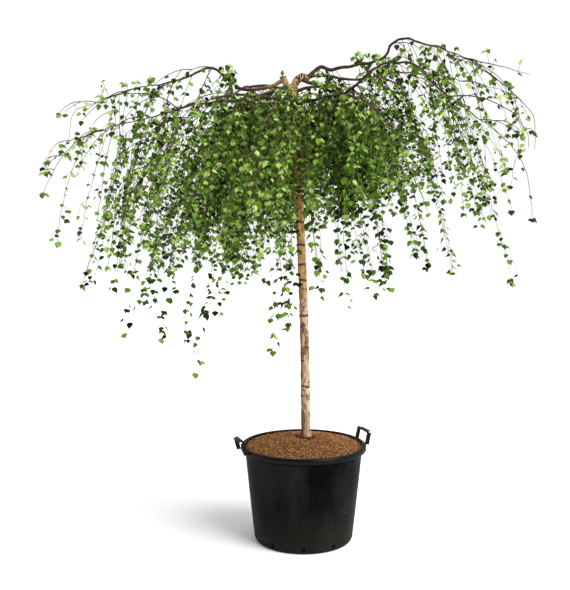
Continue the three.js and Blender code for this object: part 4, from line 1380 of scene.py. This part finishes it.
class Crown:
    """What grows on the limbs: twigs of each thickness, and where the leaves hang."""

    def __init__(self, ends):
        self.shoots = []
        self.strands = []
        self.sprays = []
        self.leaves = []
        ends = sorted((heading % 360, reach) for heading, reach in ends)
        ends = [(ends[-1][0] - 360, ends[-1][1]), *ends, (ends[0][0] + 360, ends[0][1])]
        self.headings = [heading for heading, _ in ends]
        self.reaches = [reach for _, reach in ends]

    def clear(self, point):
        """Clear of the stem, and within the crown's reach."""
        height = min(max(point.z, STEM_FOOT.z), STEM_FORK_HEIGHT)
        axis = stem_at(height)
        beside = math.hypot(point.x - axis.x, point.y - axis.y)
        if beside < stem_radius(height) + STEM_GAP and point.z < STEM_GAP_TOP:
            return False
        heading = math.degrees(math.atan2(point.y - CROWN_Y, point.x - CROWN_X)) % 360
        if reach_of(point) > np.interp(heading, self.headings, self.reaches) + EDGE_MARGIN:
            return False
        return all(CAD_LOW[k] + BOX_GAP < point[k] < CAD_HIGH[k] - BOX_GAP for k in range(3))

    def kept(self, points):
        """The line up to its first point that isn't clear, its start kept in any case."""
        for i, point in enumerate(points):
            if i and not self.clear(point):
                return points[:i]
        return points

    def dress(self, points, spacing, start, tone, random, pairs=LEAF_PAIRS):
        """Leaves one after another round a twig, often in pairs, the last at its tip."""
        whole = lengths_of(points)[-1]
        at = start + spacing * random()
        turn = 360 * random()
        while at < whole:
            root = point_along(points, at / whole)
            edge = edge_of(root)
            self.leaf(root, turn, tone, random, at / whole)
            if random() < pairs * (1 - EDGE_PAIRS_LESS * edge):
                self.leaf(root, turn + random.between(PAIR_TURN), tone, random, at / whole)
            turn += random.between(LEAF_TURN)
            thin = (1 + EDGE_THIN * edge) * (1 + OPEN_THIN * open_of(root))
            thin *= 1 + FRINGE_THIN * fringe_of(root)
            thin *= 1 + FAR_THIN * far_of(root)
            at += spacing * random.between(LEAF_SPREAD) * thin
        self.leaf(points[-1], turn, tone, random, 1)
        if random() < pairs:
            self.leaf(points[-1], turn + random.between(TIP_PAIR_TURN), tone, random, 1)

    def leaf(self, root, turn, tone, random, part):
        """A leaf at a part of its twig, unless its root is out of bounds or hides the stem too much."""
        fringe = fringe_of(root)
        at_tip = part > TIP_FROM
        size = random.between(LEAF_LENGTH) * (LEAF_TIP if at_tip else 1)
        size *= 1 + FRINGE_SIZE * max(fringe, open_of(root))
        spans = (STALK_LENGTH, STALK_FALL, LEAF_DROOP, LEAF_SWING, LEAF_ROLL, LEAF_FOLD)
        drawn = [random.between(span) for span in spans]
        draw = random()
        strip = abs(root.x - stem_at(min(root.z, STEM_FORK_HEIGHT)).x) < STEM_STRIP
        before = strip and root.y < 0 and root.z < STEM_STRIP_TOP
        if not self.clear(root) or before and random() < STEM_STRIP_SPARSE:
            return
        # The fringe's darker tone is painted shade
        tone += LEAF_TONE_SPREAD * (draw - 0.5) + (TIP_TONE if at_tip else 0) - FRINGE_TONE * fringe
        self.leaves.append((*root, turn, size, *drawn, tone))

    def shoot(self, start, heading, length, random, lift):
        """A side shoot that rises a little and bends over."""
        out = step_out(heading, length)
        points = []
        for i in range(SHOOT_STEPS + 1):
            part = i / SHOOT_STEPS
            point = start + out * part
            point.z += length * (lift * part - SHOOT_BEND * part * part)
            points.append(point)
        points = self.kept(rough(points, *SHOOT_KINKS, random() * KINK_START))
        if len(points) < 3:
            return None
        self.shoots.append((points, *SHOOT_RADIUS))
        return points

    def strand(self, start, target, tone, random, arc=STRAND_ARC):
        """A hanging strand: out, down, and swaying a little, with small side twigs and leaves."""
        level = target - start
        level.z = 0
        side = Vector((-level.y, level.x, 0)).normalized()
        sway = random.between(STRAND_SWAY)
        drop = start.z - target.z
        steps = max(5, round(abs(drop) / STRAND_STEP))
        phase = random.between(STRAND_PHASE)
        points = []
        for i in range(steps + 1):
            part = i / steps
            point = start + level * (1 - (1 - part) ** arc)
            point.z = start.z - drop * part ** STRAND_SAG
            wave = math.sin(2 * math.pi * part * SWAY_WAVES + phase) - math.sin(phase)
            points.append(point + side * (sway * wave))
        points = self.kept(rough(points, *STRAND_KINKS, random() * KINK_START))
        if len(points) < 4:
            return
        self.strands.append((points, *STRAND_RADIUS))
        self.dress(points, LEAF_SPACING, STRAND_BARE, tone, random)
        whole = lengths_of(points)[-1]
        at = STRAND_BARE + SPRAY_SPACING * random()
        while at < whole - SPRAY_END_GAP:
            root = point_along(points, at / whole)
            turn = 360 * random()
            if random() > OPEN_BARE * open_of(root):
                self.spray(root, turn, tone, random)
            at += SPRAY_SPACING * random.between(SPRAY_SPREAD)

    def spray(self, start, heading, tone, random):
        """A small side twig that leaves outwards and droops."""
        length = random.between(SPRAY_LENGTH)
        out = step_out(heading, length * SPRAY_OUT)
        points = []
        for i in range(4):
            part = i / 3
            point = start + out * (1 - (1 - part) ** 2)
            point.z -= length * SPRAY_FALL * part ** 1.5
            points.append(point)
        if self.clear(points[-1]):
            self.sprays.append((points, *SPRAY_RADIUS))
            self.dress(points, LEAF_SPACING, SPRAY_LEAFY_FROM, tone, random, SPRAY_PAIRS)

    def tuft(self, start, height, random):
        """A short upright or hanging twig with a crowd of leaves."""
        lean = step_out(360 * random(), height * random.between(UPRIGHT_LEAN))
        up = [start + lean * part + Vector((0, 0, height * part)) for part in (0, 0.35, 0.7, 1)]
        if self.clear(up[-1]):
            self.sprays.append((up, *TUFT_RADIUS))
            self.dress(up, *TUFT_LEAVES, LIMB_TONE, random)


def reach_of(point):
    return math.hypot(point.x - CROWN_X, point.y - CROWN_Y)


def eased(value, low, high):
    """0 below the low edge, 1 above the high one, smooth between."""
    part = min(max((value - low) / (high - low), 0), 1)
    return part * part * (3 - 2 * part)


def edge_of(point):
    """0 in the middle of the crown, 1 at its thin edge, which lies further out on the left."""
    reach = reach_of(point)
    side = (point.x - CROWN_X) / max(reach, 0.01)
    start = float(np.interp(side, EDGE_SIDES, EDGE_FROM))
    end = float(np.interp(side, EDGE_SIDES, EDGE_TO))
    return eased(reach, start, end)


def open_of(point):
    """1 on the high outer part of the limbs, where the crown is open."""
    above = point.z - float(np.interp(point.x, *zip(*OPEN)))
    return eased(abs(point.x - CROWN_X), *OPEN_REACH) * eased(above, *OPEN_BAND)


def far_of(point):
    """1 on the thin ends of the limbs, high at the edge of the crown."""
    return eased(reach_of(point), *FAR_REACH) * eased(point.z, *FAR_FROM)


def fringe_of(point):
    """0 in the crowd of strands, 1 where only a few of them hang lower."""
    return eased(float(np.interp(point.x, *zip(*HEM))) + FRINGE - point.z, 0, 2 * FRINGE)


def side_shoots(crown, line, heading, count, random):
    """Leafy shoots to both sides of a limb, each with a finer one. Gives their middle lines."""
    grown = []
    for i in range(count):
        part = SHOOT_FROM + (SHOOT_TO - SHOOT_FROM) * (i + random()) / count
        start = point_along(line, part)
        side = 1 if i % 2 else -1
        turn = heading + side * random.between(SHOOT_TURN)
        length = random.between(SHOOT_LENGTH) * (1 - SHOOT_SHORT * eased(part, SHOOT_SHORT_FROM, 1))
        lift = random.between(SHOOT_LIFT)
        tone = 0.5 + SHOOT_TONE_SPREAD * (random() - 0.5)
        sparse = max(SHOOT_SPARSE * edge_of(start), OPEN_SHOOTS * open_of(start),
                     FAR_SPARSE * far_of(start))
        if random() < sparse:
            continue
        points = crown.shoot(start, turn, length, random, lift)
        if points:
            grown.append(points)
            crown.dress(points, *SHOOT_LEAVES, tone, random)
            split = point_along(points, random.between(FINER_PART))
            turn -= side * random.between(FINER_TURN)
            finer = crown.shoot(split, turn, length * FINER_LENGTH, random, lift * FINER_LIFT)
            if finer:
                grown.append(finer)
                crown.dress(finer, *FINER_LEAVES, tone, random)
    return grown


def hang_tails(crown, carriers, tails, random):
    """The long strands of the lower outline, each from the spot of a twig that is nearest over it."""
    for heading, reach, height, *begin in tails:
        spots = [spot for carrier in carriers for spot in carrier[1:]]
        over = place(heading, reach * (begin[0] if begin else TAIL_FROM), 0)
        start = min(spots, key=lambda spot: math.hypot(spot.x - over.x, spot.y - over.y))
        crown.strand(start, place(heading, reach, height + TAIL_LIFT), TAIL_TONE, random, TAIL_ARC)


def hang_strands(crown, carriers, heading, count, spread, random):
    """The crowd of strands, from twigs that are drawn by their length down towards the hem."""
    weights = [len(carrier) for carrier in carriers]
    whole = sum(weights)
    first, length = STRAND_ROOTS
    for _ in range(count):
        draw = random() * whole
        k = 0
        while draw > weights[k]:
            draw -= weights[k]
            k += 1
        start = point_along(carriers[k], first + length * random() ** spread)
        turn = heading + random.between((-STRAND_FAN, STRAND_FAN))
        hem = np.interp(start.x, *zip(*HEM))
        drop = max(STRAND_LEAST, (start.z - hem) * random.between(STRAND_PART))
        target = start + step_out(turn, drop * random.between(STRAND_LEAN), -drop)
        tone = 0.5 + STRAND_TONE_SPREAD * (random() - 0.5)
        sparse = max(EDGE_SPARSE * edge_of(start), FAR_SPARSE * far_of(start),
                     OPEN_SPARSE * open_of(start))
        if random() >= sparse:
            crown.strand(start, target, tone, random)


def grow_limb(crown, line, heading, seed, shoots, strands, leafy_from, tails=(), spread=STRAND_START):
    """Shoots, strands and leaves of one limb, by the rule of the solids and on to finer twigs."""
    random = Seeded(seed)
    crown.dress(line[int(len(line) * leafy_from):], *LIMB_LEAVES, LIMB_TONE, random)
    carriers = [line[int(len(line) * STRAND_CARRY_FROM):]]
    carriers += side_shoots(crown, line, heading, shoots, random)
    for _ in range(UPRIGHTS):
        start = point_along(line, random.between(UPRIGHT_PART))
        crown.tuft(start, random.between(UPRIGHT_LENGTH), random)
    hang_tails(crown, carriers, tails, random)
    hang_strands(crown, carriers, heading, strands, spread, random)


def tubes(name, rods, sides, material, nodes):
    """Thin rods joined into one mesh."""
    spots = []
    faces = []
    base = 0
    angles = 2 * np.pi * np.arange(sides) / sides
    across = np.cos(angles)[None, :, None]
    upwards = np.sin(angles)[None, :, None]
    for points, first, last in rods:
        line = np.array(points, float)
        along = np.gradient(line, axis=0)
        along /= np.linalg.norm(along, axis=1)[:, None] + 1e-12
        side = np.cross(along, np.array((0.31, 0.94, 0.12)))
        side /= np.linalg.norm(side, axis=1)[:, None] + 1e-12
        other = np.cross(along, side)
        count = len(line)
        radii = np.linspace(first, last, count)
        round_it = across * side[:, None, :] + upwards * other[:, None, :]
        rings = line[:, None, :] + radii[:, None, None] * round_it
        tip = line[-1] + along[-1] * last
        spots += [rings.reshape(-1, 3), tip[None]]
        i = np.arange(count - 1)[:, None]
        j = np.arange(sides)[None, :]
        a = base + i * sides + j
        b = base + i * sides + (j + 1) % sides
        faces.append(np.stack([a, b, b + sides], axis=2).reshape(-1, 3))
        faces.append(np.stack([a, b + sides, a + sides], axis=2).reshape(-1, 3))
        ring = base + (count - 1) * sides + np.arange(sides)
        end = base + count * sides
        faces.append(np.stack([ring, np.roll(ring, -1), np.full(sides, end)], axis=1))
        base += count * sides + 1
    piece = mesh_of(name, np.concatenate(spots), np.concatenate(faces))
    finished(piece, material, "bough_bark", *nodes, smooth=0)


def blade_template():
    """The blade's corners as part of its length, side and fold, and its triangles."""
    corners = [(t, 0.0, 0.0) for t in LEAF_RIB]
    ribs = len(LEAF_RIB)
    count = len(LEAF_OUTLINE)
    triangles = []
    for side in (1, -1):
        first = len(corners)
        corners += [(t, side * w, w) for t, w in LEAF_OUTLINE]
        chain = [first + k for k in range(count)]
        rib = 0
        strip = []
        for k in range(count - 1):
            strip.append((rib, chain[k], chain[k + 1]))
            while rib < ribs - 2 and LEAF_OUTLINE[k + 1][0] > (LEAF_RIB[rib] + LEAF_RIB[rib + 1]) / 2:
                strip.append((rib, chain[k + 1], rib + 1))
                rib += 1
        strip.append((rib, chain[-1], rib + 1))
        triangles += [(a, b, c) if side == 1 else (a, c, b) for a, b, c in strip]
    return np.array(corners), np.array(triangles)


def level_ways(angles):
    """A level unit row along each heading, which is given in radians."""
    return np.stack([np.cos(angles), np.sin(angles), np.zeros_like(angles)], axis=1)


def foliage(leaves, greens, stalk_material, nodes):
    """All leaves, dealt out by tone into one mesh for each green, and their stalks."""
    data = np.array(leaves, float)
    root = data[:, 0:3]
    turn, size, stalk, fall, droop, swing, roll, fold, tone = data[:, 3:].T
    turn = np.radians(turn)
    fall = np.radians(fall)
    droop = np.radians(droop)
    down = np.array((0, 0, -1.0))
    stalk_way = level_ways(turn) * np.sin(fall)[:, None] + down * np.cos(fall)[:, None]
    base = root + stalk_way * stalk[:, None]
    level = level_ways(turn + np.radians(swing))
    along = level * np.sin(droop)[:, None] + down * np.cos(droop)[:, None]
    flat = np.stack([-level[:, 1], level[:, 0], level[:, 2]], axis=1)
    face = np.cross(flat, along)
    angle = np.radians(roll)[:, None]
    side = flat * np.cos(angle) + face * np.sin(angle)
    face = np.cross(side, along)
    corners, triangles = blade_template()
    t, w, lift = corners.T
    curl = -LEAF_CURL * t ** 2
    spots = base[:, None, :] + size[:, None, None] * (
        t[None, :, None] * along[:, None, :]
        + LEAF_WIDTH * w[None, :, None] * side[:, None, :]
        + (fold[:, None] * lift[None, :] + curl[None, :])[:, :, None] * face[:, None, :])
    low = np.array(CAD_LOW) - BOX_MARGIN
    high = np.array(CAD_HIGH) + BOX_MARGIN
    fits = ((spots > low) & (spots < high)).all(axis=(1, 2))
    bins = np.clip((tone * len(greens)).astype(int), 0, len(greens) - 1)
    for k, (name, material) in enumerate(greens.items()):
        chosen = spots[fits & (bins == k)]
        faces = repeated(triangles, len(chosen), len(corners))
        finished(mesh_of(name, chosen.reshape(-1, 3), faces), material, "birch_leaves", *nodes, smooth=0)
    rods = np.stack([root, base], axis=1)[fits]
    half = len(rods) // 2
    stalks("leaf_stalks_first", rods[:half], stalk_material, nodes)
    stalks("leaf_stalks_last", rods[half:], stalk_material, nodes)


def stalks(name, rods, material, nodes):
    """Leaf stalks: a three-sided rod each, from the twig to the blade."""
    way = rods[:, 1] - rods[:, 0]
    way /= np.linalg.norm(way, axis=1)[:, None]
    side = np.cross(way, np.array((0.2, 0.1, 0.97)))
    side /= np.linalg.norm(side, axis=1)[:, None]
    other = np.cross(way, side)
    angles = 2 * np.pi * np.arange(3) / 3
    ring = STALK_RADIUS * (np.cos(angles)[None, :, None] * side[:, None, :]
                           + np.sin(angles)[None, :, None] * other[:, None, :])
    spots = np.concatenate([rods[:, 0][:, None] + ring, rods[:, 1][:, None] + ring * STALK_SLIM], axis=1)
    faces = np.array([(0, 1, 4), (0, 4, 3), (1, 2, 5), (1, 5, 4), (2, 0, 3), (2, 3, 5)])
    piece = mesh_of(name, spots.reshape(-1, 3), repeated(faces, len(rods), 6))
    finished(piece, material, "birch_leaves", *nodes, smooth=0)


# Studio

def camera():
    deselect()
    bpy.ops.object.camera_add(location=CAMERA_PLACE, rotation=(math.radians(90 + CAMERA_PITCH), 0, 0))
    view = bpy.context.object
    view.data.lens = CAMERA_LENS
    view.data.sensor_width = CAMERA_SENSOR
    view.data.clip_end = CAMERA_REACH
    bpy.context.scene.camera = view


def studio():
    deselect()
    bpy.ops.mesh.primitive_circle_add(vertices=96, radius=FLOOR_RADIUS, fill_type="NGON")
    floor = bpy.context.object
    floor.name = "floor"
    floor.data.materials.append(plain("floor_white", paint(252, 252, 252), 0.9, 0.0))
    world = bpy.data.worlds.new("studio")
    bpy.context.scene.world = world
    world.use_nodes = True
    sky = Nodes(world.node_tree)
    way = sky.node("ShaderNodeTexCoord", output="Generated")
    behind = sky.window(sky.node("ShaderNodeSeparateXYZ", None, {0: way}, output="Y"), *SKY_BAND)
    light = world.node_tree.nodes["Background"].inputs
    sky.feed(light["Color"], sky.mix(behind, (*[SKY_FRONT] * 3, 1), (1, 1, 1, 1)))
    sky.feed(light["Strength"], SKY_STRENGTH)
    deselect()
    turn = Vector(SUN_FROM).to_track_quat("Z", "Y").to_euler()
    bpy.ops.object.light_add(type="SUN", location=SUN_PLACE, rotation=turn)
    sun = bpy.context.object
    sun.name = "key"
    sun.data.energy = SUN_STRENGTH
    sun.data.angle = math.radians(SUN_ANGLE)
    bpy.context.scene.view_settings.view_transform = "Standard"


def all_limbs():
    """Heading, how many stations are bare, radius and stations of each limb, arched ones last."""
    limbs = dict(LIMBS)
    for name, (heading, start, rise, reach, drop) in ARCHES.items():
        limbs[name] = (heading, ARCH_BARE, ARCH_THICK, arch_stations(start, rise, reach, drop))
    return limbs


def boughs(limbs, bark):
    """The wood of all limbs. Gives their middle lines."""
    lines = {}
    for k, (name, (heading, bare, thick, stations)) in enumerate(limbs.items()):
        line = evenly(limb_line(heading, stations, LIMB_LINE_STEPS), BOUGH_STEP)
        line = rough(line, *LIMB_KINKS, k * 7.3)
        split = (bare - 1) / (len(stations) - 1)
        radii = bough_radii(line, thick, split)
        piece = limb_mesh(f"bough_{name}", line, radii, TAN_LENGTHS.get(name, TAN_LENGTH))
        finished(piece, bark, "bough_bark", f"bough_{name}", smooth=50)
        lines[name] = line
    return lines


def twig_line(knots, seed):
    """The middle line of a branch or inner shoot through its knots, with its kinks."""
    return rough(evenly(smooth_line(knots, 6), 0.02), *BRANCH_KINKS, seed)


def grown_crown(limbs, lines):
    """All that grows on the limbs, on their branches and on the stem under its head."""
    crown = Crown([(heading, stations[-1][0]) for heading, _, _, stations in limbs.values()])
    for k, (name, line) in enumerate(lines.items()):
        leafy_from = LIMB_LEAFY_FROM if name in LIMBS else ARCH_LEAFY_FROM
        spread = STRAND_START_LEFT if name.startswith("left") else STRAND_START
        grow_limb(crown, line, limbs[name][0], 11 + k, SHOOTS, STRANDS[name], leafy_from, TAILS[name],
                  spread)
    tufts = [(name, *spot) for name, spots in TUFTS for spot in spots]
    for k, (name, part, height) in enumerate(tufts):
        crown.tuft(point_along(lines[name], part), height, Seeded(90 + k))
    crown.tuft(place(*STUBS[0][:3]), SPRIG_HEIGHT, Seeded(80))
    for k, (name, part, turn, steps) in enumerate(BRANCHES):
        heading = limbs[name][0] + turn
        start = point_along(lines[name], part)
        line = twig_line([start] + [start + step_out(heading, *step) for step in steps], k * 5.1)
        crown.shoots.append((line, *BRANCH_RADIUS))
        grow_limb(crown, line, heading, 60 + k, BRANCH_SHOOTS, BRANCH_STRANDS, BRANCH_LEAFY_FROM)
    for k, (heading, height) in enumerate(INNER):
        knots = [place(heading, INNER_REACH * part, height + lift) for part, lift in INNER_STATIONS]
        line = twig_line([stem_at(height)] + knots, 40 + k * 3.7)
        crown.shoots.append((line, *INNER_RADIUS))
        grow_limb(crown, line, heading, 40 + k, INNER_SHOOTS, INNER_STRANDS, ARCH_LEAFY_FROM)
    return crown


def main():
    camera()
    studio()
    plastic = tub_plastic()
    tub(plastic)
    for name, (heading, lean) in HANDLES.items():
        handle(name, heading, lean, plastic)
    soil(soil_earth())
    chips({name: chip_bark(name, paint(*dark), paint(*light)) for name, (dark, light) in MULCH.items()})
    stem(birch_bark())
    limbs = all_limbs()
    crown = grown_crown(limbs, boughs(limbs, bough_bark()))
    nodes = sorted(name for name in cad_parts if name.startswith("foliage_"))
    tubes("shoots", crown.shoots, 5, plain("shoot_bark", paint(58, 38, 26), 0.7, 0.12), nodes)
    tubes("strands", crown.strands, 3, plain("strand_bark", paint(74, 54, 40), 0.7, 0.12), nodes)
    tubes("sprays", crown.sprays, 3, plain("spray_bark", paint(92, 76, 50), 0.7, 0.12), nodes)
    greens = {}
    for tone, colour in LEAF_TONES.items():
        greens[f"leaves_{tone}"] = plain(f"leaf_{tone}", paint(*colour), 0.5, 0.09)
    foliage(crown.leaves, greens, plain("leaf_stalk", paint(126, 132, 76), 0.6, 0.4), nodes)


main()
